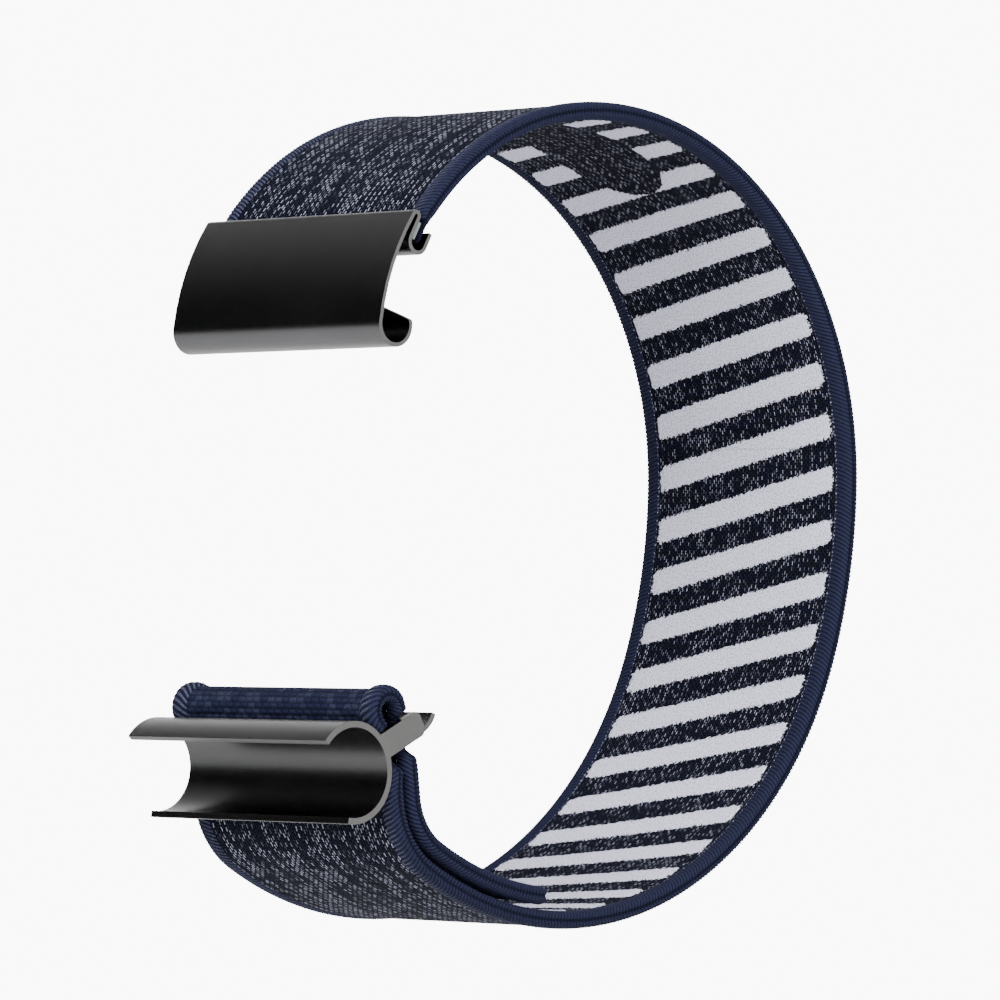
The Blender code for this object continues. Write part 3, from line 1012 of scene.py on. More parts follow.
@dataclass(frozen=True)
class Metal:
    """A metal or moulded surface with grain, smudges and faint scratches."""

    name: str
    colour: Colour
    dull: Colour
    metallic: float
    roughness: float
    spread: float
    grain_depth: float = 0.000002
    gloss: float = 0.5

    def build(self, effects: Effects) -> bpy.types.Material:
        """Makes the material."""
        made, graph, shader = bare_material(self.name)
        place = graph.node("TexCoord").outputs["Object"]
        parts = graph.node("SeparateXYZ", {0: place})
        axes = {axis: parts.outputs[i] for i, axis in enumerate("XYZ")}
        grain = graph.group(effects.grain, **axes)
        smudge = graph.step(0.35, 0.75, grain.outputs["Smudge"])
        colour = graph.mix(smudge, self.colour, self.dull)
        graph.wire(colour, shader.inputs["Base Color"])
        rough = graph.math("MULTIPLY", smudge, self.spread)
        fine = graph.math("MULTIPLY", grain.outputs["Grain"], self.spread)
        rough = graph.math("ADD", graph.math("ADD", rough, fine), self.roughness)
        graph.wire(rough, shader.inputs["Roughness"])
        height = graph.math("ADD", grain.outputs["Grain"], grain.outputs["Scratch"])
        raise_surface(graph, shader, height, self.grain_depth)
        shader.inputs["Metallic"].default_value = self.metallic
        shader.inputs["Specular IOR Level"].default_value = self.gloss
        return made


class Slot(Enum):
    """The record's material slots."""

    WEAVE = "melange_weave"
    LINING = "pile_lining"
    BINDING = "navy_binding"
    HOOKS = "black_hook_tape"
    BLACK_STEEL = "black_steel"
    BARE_STEEL = "bare_steel"
    LINER = "grey_liner"


@dataclass(frozen=True)
class Finishes:
    """Every material of the band."""

    weave: bpy.types.Material
    lining: bpy.types.Material
    binding: bpy.types.Material
    hooks: bpy.types.Material
    coated: bpy.types.Material
    channel: bpy.types.Material
    cut_edge: bpy.types.Material
    steel: bpy.types.Material
    liner: bpy.types.Material

    @staticmethod
    def make() -> Finishes:
        """Builds the shared groups and every material from them."""
        effects = Effects(yarn_cells(), fibre_fuzz(), sheet_grain())
        coated = Metal(
            name="black_steel",
            colour=(0.074, 0.074, 0.076, 1.0),
            dull=(0.080, 0.080, 0.082, 1.0),
            metallic=1.0,
            roughness=0.28,
            spread=0.02,
            grain_depth=0.0000003,
        )
        # A darker copy of the black coating for the lower clip: painted shade that dims its reflections.
        channel = replace(
            coated,
            name="black_channel",
            colour=(0.055, 0.055, 0.056, 1.0),
            dull=(0.060, 0.060, 0.061, 1.0),
            roughness=0.30,
        )
        edge = Metal(
            name="cut_edge",
            colour=(0.052, 0.052, 0.051, 1.0),
            dull=(0.057, 0.057, 0.056, 1.0),
            metallic=0.0,
            roughness=0.60,
            spread=0.02,
            grain_depth=0.0000001,
            gloss=0.12,
        )
        steel = Metal(
            name="bare_steel",
            colour=(0.45, 0.46, 0.46, 1.0),
            dull=(0.36, 0.36, 0.36, 1.0),
            metallic=1.0,
            roughness=0.28,
            spread=0.12,
        )
        liner = Metal(
            name="grey_liner",
            colour=(0.085, 0.100, 0.100, 1.0),
            dull=(0.125, 0.140, 0.140, 1.0),
            metallic=0.0,
            roughness=0.60,
            spread=0.15,
            grain_depth=0.00002,
        )
        return Finishes(
            Melange().build(effects),
            PileLining().build(effects),
            NavyBinding().build(effects),
            HookTape().build(effects),
            coated.build(effects),
            channel.build(effects),
            edge.build(effects),
            steel.build(effects),
            liner.build(effects),
        )


# --- Strap ----------------------------------------------------------------------------


@dataclass(frozen=True)
class Stretch:
    """A length of the strap that bends across one joint.

    The strap follows the body `before` up to the distance `bend_from`, and the body
    `after` from `bend_to` on.
    """

    name: str
    start: float
    end: float
    before: str
    after: str
    bend_from: float
    bend_to: float
    nodes: tuple[str, ...]


@dataclass
class StripePattern:
    """Where the lining has pile: slanted stripes, left out over the tongue by the clip."""

    first: float = 40.5
    period: float = 3.95
    early_period: float = 3.80
    width: float = 1.86
    slant: float = 0.225
    margin: float = 8.70
    end: float = 126.0
    tongue_half: float = 4.3
    tongue_straight: float = 32.5
    tongue_end: float = 37.55
    begin: float = 25.75
    begin_slant: float = 0.45
    softness: float = 0.16

    def mask(
        self, along: np.ndarray, across: np.ndarray, ragged: np.ndarray
    ) -> np.ndarray:
        """Works out how much pile each point has.

        Args:
            along: Distances along the strap.
            across: Places across the strap, the near edge negative.
            ragged: How far the pile's edge strays at each point.

        Returns:
            1 on the pile, 0 on the dark ground, and between at a stripe's edge.
        """
        level = along - self.slant * across - self.first
        period = np.where(level > -self.period / 2, self.period, self.early_period)
        away = np.abs(level - period * np.round(level / period))
        inset = self.margin - np.abs(across)
        corner = np.maximum(0.0, 0.5 - inset) ** 2
        inside = self.width / 2 - away - corner
        inside = np.minimum(inside, inset)
        inside = np.minimum(inside, along - self.begin - self.begin_slant * across)
        inside = np.minimum(inside, self.end - along)
        reach = (along - self.tongue_straight) / (self.tongue_end - self.tongue_straight)
        reach = np.clip(reach, 0.0, 1.0)
        half = self.tongue_half * np.sqrt(1 - reach**2)
        beside = np.abs(across - 0.1) - half
        clear = np.where(along > self.tongue_end, 1.0, beside)
        inside = np.minimum(inside, clear)
        return smooth(-self.softness, self.softness, inside + ragged)


@dataclass
class Strap:
    """The woven strap from the crimp to the end of the tail."""

    path: StrapPath
    shape: StrapShape
    finishes: Finishes
    stripes: StripePattern = field(default_factory=StripePattern)
    weave_spacing: float = 0.30
    weave_columns: int = 56
    lining_spacing: float = 0.14
    lining_columns: int = 116
    binding_spacing: float = 0.058
    binding_columns: int = 30
    core: float = 0.02
    tail_back: float = -0.9
    under_binding: float = 1.15
    lining_inset: float = 0.92
    rib_pitch: float = 0.31
    rib_slant: float = 0.62
    rib_depth: float = 0.11
    rib_fullness: float = 0.9
    rib_base: float = 0.6
    edge_radius: float = 0.9
    seam_width: float = 0.14
    seam_depth: float = 0.10
    pile_height: float = 0.12
    ragged: float = 0.22
    over_seal: float = 0.85
    flex_top: float = 37.0
    flex_bottom: float = 83.0
    flex_reach: float = 14.0
    clip_reach: float = 4.0
    before_fold: float = 2.2
    past_fold: float = 1.6
    past_pin: float = 0.3
    seams: tuple[float, float, float] = (18.5, 60.0, 106.0)

    def stretches(self) -> list[Stretch]:
        """Splits the strap where it lies rigid, so that each length crosses one joint."""
        path = self.path
        mouth = self.shape.mouth
        top, bottom, turn = self.flex_top, self.flex_bottom, self.flex_reach
        first, second, third = self.seams
        fold, tail = path.fold_start, path.tail_start
        rows = (
            ("at_clip", mouth, first, "upper_clip_body", "strap_upper"),
            ("top", first, second, "strap_upper", "strap_back"),
            ("bottom", second, third, "strap_back", "strap_lower"),
            ("at_fold", third, path.hump_top, "strap_lower", "strap_fold"),
            ("past_pin", path.hump_top, tail, "strap_fold", "strap_lower"),
            ("tail", tail, path.tail_end, "strap_lower", "tail"),
        )
        bends = (
            (mouth, mouth + self.clip_reach),
            (top - turn, top + turn),
            (bottom - turn, bottom + turn),
            (fold - self.before_fold, fold + self.past_fold),
            (path.at_pin + self.past_pin, tail),
            (tail, tail + TAIL_BEND),
        )
        nodes = (
            ("upper",),
            ("upper", "back"),
            ("back", "lower"),
            ("lower", "fold"),
            ("fold",),
            ("tail",),
        )
        return [
            Stretch(*row, *bend, solids) for row, bend, solids in zip(rows, bends, nodes)
        ]

    def skin(
        self,
        stations: np.ndarray,
        across: np.ndarray,
        out: np.ndarray,
        uv_across: np.ndarray,
    ) -> Skin:
        """Sweeps a closed section along the strap.

        Args:
            stations: Distances along the strap.
            across: Y of each column by station.
            out: Height of each column above the middle line by station.
            uv_across: Second UV value of each column, with one more to close it.

        Returns:
            The swept skin.
        """
        points, normals = self.path.frames(stations)
        x = points[:, :1] + normals[:, :1] * out
        z = points[:, 1:] + normals[:, 1:] * out
        grid = np.stack([x, across, z], axis=-1)
        along = np.repeat(stations[:, None], uv_across.shape[1], axis=1)
        return Skin(grid, np.stack([along, uv_across], axis=-1))

    def panel(
        self, stations: np.ndarray, columns: int, low: float, high: float, inset: float
    ) -> tuple[Skin, np.ndarray]:
        """Sweeps a flat layer between two heights.

        Args:
            stations: Distances along the strap.
            columns: Number of columns over its visible face.
            low: Height of its hidden face as a share of the half thickness.
            high: Height of its visible face as such a share.
            inset: How far its sides lie inside the strap's edges.

        Returns:
            The skin, and the places across of the visible columns by station.
        """
        half = self.shape.width(stations) - inset
        spread = np.linspace(-1.0, 1.0, columns)
        face = half[:, None] * spread[None, :]
        hidden = half[:, None] * np.array([[1.0, -1.0]])
        across = np.concatenate([face, hidden], axis=1)
        thick = self.shape.half_thickness * self.shape.fullness(stations)[:, None]
        out = np.concatenate(
            [high * thick * np.ones_like(face), low * thick * np.ones_like(hidden)],
            axis=1,
        )
        uv = np.concatenate([across, across[:, :1]], axis=1)
        return self.skin(stations, across, out, uv), face

    def weave(self, part: Stretch) -> bpy.types.Object:
        """Builds the outer weave of a stretch."""
        stations = stations_between(part.start, part.end, self.weave_spacing)
        low = self.tail_back if part.name == "tail" else self.core
        skin, _ = self.panel(stations, self.weave_columns, low, 1.0, self.under_binding)
        rows, columns = skin.points.shape[:2]
        path = self.path
        folded = smooth(path.entry - 1.2, path.entry + 0.2, stations)
        skin.masks["plain"] = np.repeat(folded[:, None], columns, axis=1)
        LOG.info("weave %s: %d by %d", part.name, rows, columns)
        return self.finish(skin, "weave_" + part.name, part, "weave", Slot.WEAVE)

    def lining(self, part: Stretch) -> bpy.types.Object:
        """Builds the pile lining of a stretch, with its stripes raised."""
        stations = stations_between(part.start, part.end, self.lining_spacing)
        skin, face = self.panel(
            stations, self.lining_columns, -self.core, -1.0, self.lining_inset
        )
        along = np.repeat(stations[:, None], face.shape[1], axis=1)
        rough = np.array(
            [
                [noise.noise(Vector((s * 3.2, y * 4.6, 0.0))) for y in row]
                for s, row in zip(stations, face)
            ]
        )
        pile = self.stripes.mask(along, face, self.ragged * rough)
        lift = self.pile_height * pile * (1.0 + 0.35 * rough)
        lift *= self.shape.fullness(stations)[:, None] ** 2
        points, normals = self.path.frames(stations)
        columns = face.shape[1]
        skin.points[:, :columns, 0] -= normals[:, :1] * lift
        skin.points[:, :columns, 2] -= normals[:, 1:] * lift
        padded = np.concatenate([pile, pile[:, -1:], pile[:, :1]], axis=1)
        skin.masks["pile"] = padded
        return self.finish(skin, "lining_" + part.name, part, "lining", Slot.LINING)

    def binding(self, part: Stretch, side: int) -> bpy.types.Object:
        """Builds one overlocked edge of a stretch.

        Two rows of slanted ribs meet in a groove along the very edge.

        Args:
            part: The stretch.
            side: -1 for the near edge, 1 for the far edge.

        Returns:
            The binding.
        """
        end = part.end + (self.over_seal if part.name == "tail" else 0.0)
        stations = stations_between(part.start, end, self.binding_spacing)
        turn, cosine, sine = rounded_section(self.binding_columns, 0.80, 0.80)
        from_edge = np.where(turn > math.pi, turn - 2 * math.pi, turn)
        round_edge = from_edge * self.edge_radius
        phase = stations[:, None] / self.rib_pitch
        phase = phase + self.rib_slant * np.abs(round_edge)[None, :] * 2.0
        ridge = np.abs(np.sin(math.pi * phase)) ** self.rib_fullness
        seam = np.exp(-((round_edge / self.seam_width) ** 2))[None, :]
        ridge = ridge * (1 - 0.8 * seam)
        lift = self.rib_depth * (ridge - self.rib_base) - self.seam_depth * seam
        full = self.shape.fullness(stations)[:, None]
        wide = self.shape.binding_half_width
        thick = self.shape.binding_half_thickness * full
        centre = self.shape.width(stations)[:, None] - wide
        across = side * (centre + (wide + lift) * cosine[None, :])
        out = (thick + lift * full) * sine[None, :]
        out += self.shape.crowning(stations)[:, None] * np.maximum(sine, 0.0)[None, :]
        uv = np.repeat(round_edge[None, :], len(stations), axis=0)
        skin = self.skin(stations, across[:, :-1], out[:, :-1], uv)
        # The ridge mask sets the binding's painted groove shade, and the rim mask sets where its painted highlight
        # falls on the outer face.
        skin.masks["ridge"] = ridge[:, :-1]
        rim = smooth(0.9, 1.7, turn) * (1 - smooth(2.6, 3.1, turn))
        skin.masks["rim"] = np.repeat(rim[None, :-1], len(stations), axis=0)
        edge = "near" if side < 0 else "far"
        return self.finish(
            skin, f"binding_{edge}_{part.name}", part, f"binding_{edge}", Slot.BINDING
        )

    def finish(
        self, skin: Skin, name: str, part: Stretch, layer: str, slot: Slot
    ) -> bpy.types.Object:
        """Builds a skin, dresses it and ties it to the stretch's two bodies.

        Args:
            skin: The swept skin.
            name: Name of the piece.
            part: The stretch that it belongs to.
            layer: The layer's name in the solids that it stands for.
            slot: The record's slot of its finish.

        Returns:
            The piece.
        """
        piece = skin.build(name)
        looks = {
            Slot.WEAVE: self.finishes.weave,
            Slot.LINING: self.finishes.lining,
            Slot.BINDING: self.finishes.binding,
        }
        dress(piece, looks[slot])
        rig.slot(piece, slot.value)
        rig.replaces(piece, *(f"{node}_{layer}" for node in part.nodes))
        place = self.path.place
        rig.blend(
            piece, part.before, part.after, place(part.bend_from), place(part.bend_to)
        )
        return piece

    def build(self) -> None:
        """Builds every layer of every stretch."""
        for part in self.stretches():
            self.weave(part)
            if part.name != "tail":
                self.lining(part)
            for side in (-1, 1):
                self.binding(part, side)
            LOG.info("stretch %s", part.name)


@dataclass
class TailEnd:
    """The tail's hook tape and its pressed, sealed end."""

    path: StrapPath
    shape: StrapShape
    finishes: Finishes
    tape_margin: float = 0.6
    tape_half_width: float = 7.2
    tape_back: float = -0.28
    tape_face: float = -0.52
    hook_pitch: float = 0.62
    hook_height: float = 0.30
    hook_radius: float = 0.07
    hook_sides: int = 6
    hook_rings: tuple[Point, ...] = (
        (1.0, 0.0),
        (0.6, 0.35),
        (0.6, 0.65),
        (1.5, 0.72),
        (1.2, 0.95),
    )
    seal_length: float = 0.95
    seal_overlap: float = 0.02
    seal_inset: float = 0.45
    seal_taper: float = 0.10

    def tape(self, strap: Strap) -> None:
        """Builds the hook tape with rows of small mushroom hooks."""
        start = self.path.tail_start + self.tape_margin
        end = self.path.tail_end - self.tape_margin
        stations = stations_between(start, end, 0.5)
        half = self.tape_half_width
        section = np.array(
            [
                (-half, self.tape_back),
                (-half, self.tape_face + 0.06),
                (-half + 0.12, self.tape_face),
                (half - 0.12, self.tape_face),
                (half, self.tape_face + 0.06),
                (half, self.tape_back),
            ]
        )
        rows = len(stations)
        across = np.repeat(section[None, :, 0], rows, axis=0)
        out = np.repeat(section[None, :, 1], rows, axis=0)
        uv = np.concatenate([across, across[:, :1]], axis=1)
        piece = strap.skin(stations, across, out, uv).build("hook_tape")
        piece.data.shade_flat()
        dress(piece, self.finishes.hooks)
        self.tie(piece, Slot.HOOKS, "tail_hook_tape")
        hooks = self.hooks(start, end)
        dress(hooks, self.finishes.hooks)
        self.tie(hooks, Slot.HOOKS, "tail_hook_tape")

    def hooks(self, start: float, end: float) -> bpy.types.Object:
        """Builds the field of hooks.

        Args:
            start: Distance along the strap where the tape starts.
            end: Distance where it ends.

        Returns:
            One mesh of stems with round heads.
        """
        sides = self.hook_sides
        rings = self.hook_rings
        turn = np.linspace(0.0, 2 * math.pi, sides, endpoint=False)
        vertices: list[Vector] = []
        faces: list[list[int]] = []
        lines = stations_between(start + 0.4, end - 0.4, self.hook_pitch)
        points, normals = self.path.frames(lines)
        spread = stations_between(
            -self.tape_half_width + 0.5, self.tape_half_width - 0.5, self.hook_pitch
        )
        for row, ((x, z), (nx, nz)) in enumerate(zip(points, normals)):
            for y in spread + (row % 2) * self.hook_pitch / 2:
                base = len(vertices)
                for size, height in rings:
                    out = self.tape_face + 0.02 - height * self.hook_height
                    for angle in turn:
                        aside = size * self.hook_radius
                        t, w = aside * math.cos(angle), aside * math.sin(angle)
                        px = (x + nx * out + nz * t) * MM
                        pz = (z + nz * out - nx * t) * MM
                        vertices.append(Vector((px, (y + w) * MM, pz)))
                for ring in range(len(rings) - 1):
                    for side in range(sides):
                        a = base + ring * sides + side
                        b = base + ring * sides + (side + 1) % sides
                        faces.append([a, b, b + sides, a + sides])
                top = base + (len(rings) - 1) * sides
                faces.append([top + side for side in range(sides)])
                faces.append([base + side for side in reversed(range(sides))])
        mesh = bpy.data.meshes.new("hook_field")
        mesh.from_pydata(vertices, [], faces)
        mesh.shade_smooth()
        made = bpy.data.objects.new("hook_field", mesh)
        bpy.context.scene.collection.objects.link(made)
        face_out(made)
        return made

    def seal(self, strap: Strap) -> None:
        """Builds the pressed end, thinner towards its tip, with melted ridges."""
        start = self.path.tail_end - self.seal_overlap
        stations = stations_between(start, start + self.seal_length, 0.05)
        _, cosine, sine = rounded_section(120, 0.16, 0.5)
        gone = (stations - start) / self.seal_length
        thin = (self.shape.half_thickness - self.seal_taper * gone**4)[:, None]
        half = self.shape.half_width - self.seal_inset - self.seal_taper * gone**3
        half = half[:, None]
        wavy = np.sin(across_wave(half * cosine[None, :])) * 0.5 + 0.5
        across = half * cosine[None, :]
        out = thin * sine[None, :] * (0.86 + 0.14 * wavy)
        skin = strap.skin(stations, across[:, :-1], out[:, :-1], across)
        # The ridge values set the binding's painted shade in the troughs between the melted ridges.
        skin.masks["ridge"] = 0.35 + 0.5 * wavy[:, :-1]
        piece = skin.build("sealed_tip")
        dress(piece, self.finishes.binding)
        self.tie(piece, Slot.BINDING, "tail_end_seal")

    def tie(self, piece: bpy.types.Object, slot: Slot, node: str) -> None:
        """Makes a piece of the tail bend at the tail's root in place of its solid."""
        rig.slot(piece, slot.value)
        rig.replaces(piece, node)
        root = self.path.tail_start
        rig.blend(
            piece,
            "strap_lower",
            "tail",
            self.path.place(root),
            self.path.place(root + TAIL_BEND),
        )


def across_wave(across: np.ndarray) -> np.ndarray:
    """Returns the phase of the ridges that the press leaves across the sealed end."""
    return across * 2 * math.pi / 0.55


# --- Clips ----------------------------------------------------------------------------


@dataclass
class SolidShell:
    """A mesh gathered from extruded outlines, dressed and put on a body as one part."""

    name: str
    shift: Point
    mesh: bmesh.types.BMesh = field(default_factory=bmesh.new)

    def corner(self, x: float, y: float, z: float) -> bmesh.types.BMVert:
        """Adds a corner given before the band was moved onto its base."""
        place = ((x + self.shift[0]) * MM, y * MM, (z + self.shift[1]) * MM)
        return self.mesh.verts.new(place)

    def sheet(
        self,
        stations: Sequence[tuple[float, float, float]],
        thickness: float,
        half_widths: Sequence[tuple[float, float]],
    ) -> None:
        """Adds a bent sheet that lies across the band.

        Args:
            stations: x, z and heading of its middle line.
            thickness: Thickness of the sheet.
            half_widths: Half width at each station, on its left and on its right face.
        """
        rings = []
        half = thickness / 2
        for (x, z, heading), (left, right) in zip(stations, half_widths):
            across, up = -math.sin(heading) * half, math.cos(heading) * half
            rings.append(
                [
                    self.corner(x + across, -left, z + up),
                    self.corner(x + across, left, z + up),
                    self.corner(x - across, right, z - up),
                    self.corner(x - across, -right, z - up),
                ]
            )
        for first, second in zip(rings, rings[1:]):
            for i in range(4):
                j = (i + 1) % 4
                face = self.mesh.faces.new((first[i], first[j], second[j], second[i]))
                face.material_index = i % 2
        self.mesh.faces.new(rings[0])
        self.mesh.faces.new(rings[-1][::-1])

    def plate(self, outline: Sequence[Point], low: float, high: float) -> None:
        """Adds a plate that stands between two places across the band.

        Args:
            outline: Its outline as x and z.
            low: Y of its near face.
            high: Y of its far face.
        """
        rings = [[self.corner(x, y, z) for x, z in outline] for y in (low, high)]
        for ring in rings:
            self.mesh.faces.new(ring).material_index = 1
        for i in range(len(outline)):
            j = (i + 1) % len(outline)
            self.mesh.faces.new((rings[0][i], rings[0][j], rings[1][j], rings[1][i]))

    def build(
        self,
        node: str,
        body: str,
        slot: Slot,
        finishes: Sequence[bpy.types.Material],
        edge_break: float = 0.035,
        smooth_angle: float = 30.0,
    ) -> bpy.types.Object:
        """Makes the part in place of its solid.

        Args:
            node: The solid that it replaces.
            body: The body that carries it.
            slot: The record's slot of its finish.
            finishes: Finish of its faces, and one for its cut ends where it has them.
            edge_break: Width of its broken edges.
            smooth_angle: Largest angle between faces that shade as one surface.

        Returns:
            The part.
        """
        bmesh.ops.recalc_face_normals(self.mesh, faces=self.mesh.faces)
        for face in self.mesh.faces:
            face.smooth = True
        data = bpy.data.meshes.new(self.name)
        self.mesh.to_mesh(data)
        self.mesh.free()
        data.set_sharp_from_angle(angle=math.radians(smooth_angle))
        made = bpy.data.objects.new(self.name, data)
        bpy.context.scene.collection.objects.link(made)
        dress(made, *finishes)
        bevel = made.modifiers.new("broken_edge", "BEVEL")
        bevel.width = edge_break * MM
        bevel.segments = 2
        bevel.limit_method = "ANGLE"
        bevel.angle_limit = math.radians(smooth_angle)
        bevel.harden_normals = True
        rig.slot(made, slot.value)
        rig.replaces(made, node)
        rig.ride(made, body)
        LOG.info("part %s", self.name)
        return made


@dataclass
class UpperClip:
    """One folded sheet: the crimp's trough, a tight top fold, a curved plate and a hook."""

    path: StrapPath
    finishes: Finishes
    half_width: float = 10.45
    sheet: float = 0.3
    strap_thickness: float = 1.0
    crimp_clearance: float = 0.1
    crimp_lip: float = 1.1
    crimp_wall: float = 1.45
    top_fold: Point = (0.27, 173.0)
    plate: Point = (16.5, 28.0)
    hook: Point = (1.42, 220.0)
    hook_lip: float = 0.9
    corner_length: float = 3.6
    corner_drop: float = 1.5
    liner: float = 0.25
    liner_height: float = 1.3
    liner_half_width: float = 10.3
    smooth_turn: float = 5.0

    def build(self) -> None:
        """Builds the clip and the liner in its trough."""
        crimp = self.strap_thickness / 2 + self.crimp_clearance + self.sheet / 2
        start = Route(*self.path.crimp).line(self.crimp_lip)
        sheet = Route(*start.beside(-crimp), self.path.crimp[2] + 180)
        sheet.line(self.crimp_lip).arc(crimp, -180).line(self.crimp_wall)
        sheet.arc(*self.top_fold).arc(*self.plate).arc(*self.hook)
        hook_runs = len(sheet.runs)
        sheet.line(self.hook_lip)
        stations = sheet.stations(self.smooth_turn)
        last = sheet.runs[hook_runs - 1]
        turns = math.ceil(self.hook[1] / self.smooth_turn)
        stations[-1:] = [
            sheet.runs[-1].step(self.hook_lip * part) for part in (0.4, 0.7, 1.0)
        ]
        from_hook = len(stations) - turns // 2 - 3
        top = sheet.point[1] + self.sheet
        half = self.sheet / 2
        widths = []
        for index, (_, z, heading) in enumerate(stations):
            pair = []
            for side in (1, -1):
                height = z + side * half * math.cos(heading)
                lost = 0.0
                if index >= from_hook and last.bend > 0:
                    rise = (height - top + self.corner_drop) / self.corner_drop
                    lost = max(0.0, rise) * self.corner_length
                pair.append(self.half_width - lost)
            widths.append((pair[0], pair[1]))
        clip = SolidShell("folded_upper_clip", self.path.shift)
        clip.sheet(stations, self.sheet, widths)
        looks = (self.finishes.coated, self.finishes.cut_edge)
        clip.build("upper_clip", "upper_clip_body", Slot.BLACK_STEEL, looks)
        self.build_liner()

    def build_liner(self) -> None:
        """Builds the grey liner between the strap's end and the trough's wall."""
        middle = self.strap_thickness / 2 - self.liner / 2
        route = Route(*self.path.crimp)
        route.line(self.path.crimp_run).arc(
            self.path.loop_arcs[0][0], -self.path.loop_arcs[0][1]
        )
        stations = []
        for step in range(9):
            x, z, heading = route.at(self.liner_height * step / 8)
            stations.append(
                (
                    x - middle * math.sin(heading),
                    z + middle * math.cos(heading),
                    heading,
                )
            )
        liner = SolidShell("trough_liner", self.path.shift)
        reach = self.liner_half_width
        liner.sheet(stations, self.liner, [(reach, reach)] * len(stations))
        looks = (self.finishes.liner, self.finishes.liner)
        liner.build("crimp_liner", "upper_clip_body", Slot.LINER, looks)


@dataclass
class LowerClip:
    """A split channel with two arms, the pin between them and the keeper at their ends."""

    path: StrapPath
    finishes: Finishes
    half_width: float = 10.0
    wall: float = 0.45
    opening: Point = (-95.8, 145.2)
    arm_angle: float = 29.2
    arm_height: float = 1.8
    arm_thickness: float = 0.5
    arm_round: float = 0.5
    proud: float = 0.004
    fold_clearance: float = 0.1
    keeper_clearance: float = 0.4
    keeper_run: float = 0.7
    keeper_thickness: float = 0.4
    keeper_drop: float = 0.65
    keeper_curl: Point = (2.0, 45.0)
    socket_depth: float = 0.28
    smooth_turn: float = 5.0

    def arm(self, length: float, root: Point, along: float) -> list[Point]:
        """Draws an arm with rounded outer corners.

        Args:
            length: Length of the arm.
            root: Where its middle line starts.
            along: Its heading in radians.

        Returns:
            Its outline.
        """
        high = self.arm_height / 2
        outline = [(0.0, -high)]
        for middle, first in ((self.arm_round - high, -90), (high - self.arm_round, 0)):
            for step in range(9):
                angle = math.radians(first + 90.0 * step / 8)
                outline.append(
                    (
                        length - self.arm_round * (1 - math.cos(angle)),
                        middle + self.arm_round * math.sin(angle),
                    )
                )
        outline.append((0.0, high))
        c, s = math.cos(along), math.sin(along)
        return [(root[0] + u * c - v * s, root[1] + u * s + v * c) for u, v in outline]

    def build(self) -> None:
        """Builds the channel, arms and keeper as one part, and the pin."""
        path = self.path
        half = self.half_width
        middle = path.channel_radius - self.wall / 2
        start = self.opening[0] + path.lean
        channel = Route(*polar(path.channel, middle, start), start + 90)
        channel.arc(middle, self.opening[1] - self.opening[0])
        stations = channel.stations(self.smooth_turn)
        clip = SolidShell("arm_channel_clip", path.shift)
        clip.sheet(stations, self.wall, [(half, half)] * len(stations))
        along = math.radians(self.arm_angle + path.lean)
        pin = path.pin
        to_pin = math.dist(pin, path.channel) - middle
        gap = path.fold_thickness + self.fold_clearance + self.keeper_clearance
        to_keeper = path.pin_diameter / 2 + gap
        root = polar(pin, -to_pin, math.degrees(along))
        arm = self.arm(to_pin + to_keeper + self.keeper_run, root, along)
        inner = half - self.arm_thickness
        clip.plate(arm, -half - self.proud, -inner)
        clip.plate(arm, inner, half + self.proud)
        bar = Route(*polar(pin, to_keeper, math.degrees(along)), math.degrees(along))
        keeper = Route(*bar.beside(-self.keeper_drop), math.degrees(along))
        keeper.line(self.keeper_run).arc(*self.keeper_curl)
        stations = keeper.stations(self.smooth_turn)
        reach = half - self.arm_thickness / 2
        clip.sheet(stations, self.keeper_thickness, [(reach, reach)] * len(stations))
        looks = (self.finishes.channel, self.finishes.cut_edge)
        clip.build("lower_clip", "lower_clip_body", Slot.BLACK_STEEL, looks)
        rod = SolidShell("pin_between_arms", path.shift)
        ring = [polar(pin, path.pin_diameter / 2, 360 * i / 40) for i in range(40)]
        rod.plate(ring, -inner - self.socket_depth, inner + self.socket_depth)
        looks = (self.finishes.steel, self.finishes.steel)
        rod.build("cross_pin", "lower_clip_body", Slot.BARE_STEEL, looks)


@dataclass
class CrimpedEnd:
    """The strap's end, pressed flat in the crimp."""

    path: StrapPath
    shape: StrapShape
    finishes: Finishes
    under_liner: float = 0.13
    inner_face: float = 0.46
    start: float = 0.02
    overlap: float = 0.05
    past_liner: float = 1.3
    swell: float = 0.10
    inset: float = 0.03

    def build(self, strap: Strap) -> None:
        """Builds the pressed end from the bottom of the crimp to its mouth."""
        stations = stations_between(self.start, self.shape.mouth + self.overlap, 0.06)
        _, cosine, sine = rounded_section(96, 0.2, 0.6)
        rise = smooth(0.0, 0.35, stations)[:, None]
        swell = smooth(self.past_liner, self.shape.mouth, stations)[:, None]
        high = self.under_liner * rise + self.swell * swell
        low = -self.inner_face * (0.55 + 0.45 * rise)
        middle, half = (high + low) / 2, (high - low) / 2
        wave = np.sin(across_wave(stations[:, None] + 0 * cosine[None, :]))
        out = middle + half * sine[None, :] * (0.94 + 0.06 * wave)
        half_width = self.shape.half_width - self.inset
        across = half_width * np.repeat(cosine[None, :], len(stations), axis=0)
        skin = strap.skin(stations, across[:, :-1], out[:, :-1], across)
        # Low ridge values give the pressed end mostly the binding's painted groove shade, so it is dark nearly all
        # over.
        skin.masks["ridge"] = 0.15 + 0.15 * wave[:, :-1]
        piece = skin.build("pressed_strap_end")
        dress(piece, self.finishes.binding)
        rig.slot(piece, Slot.BINDING.value)
        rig.replaces(piece, "crimped_strap_end")
        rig.ride(piece, "upper_clip_body")


# --- Studio ---------------------------------------------------------------------------


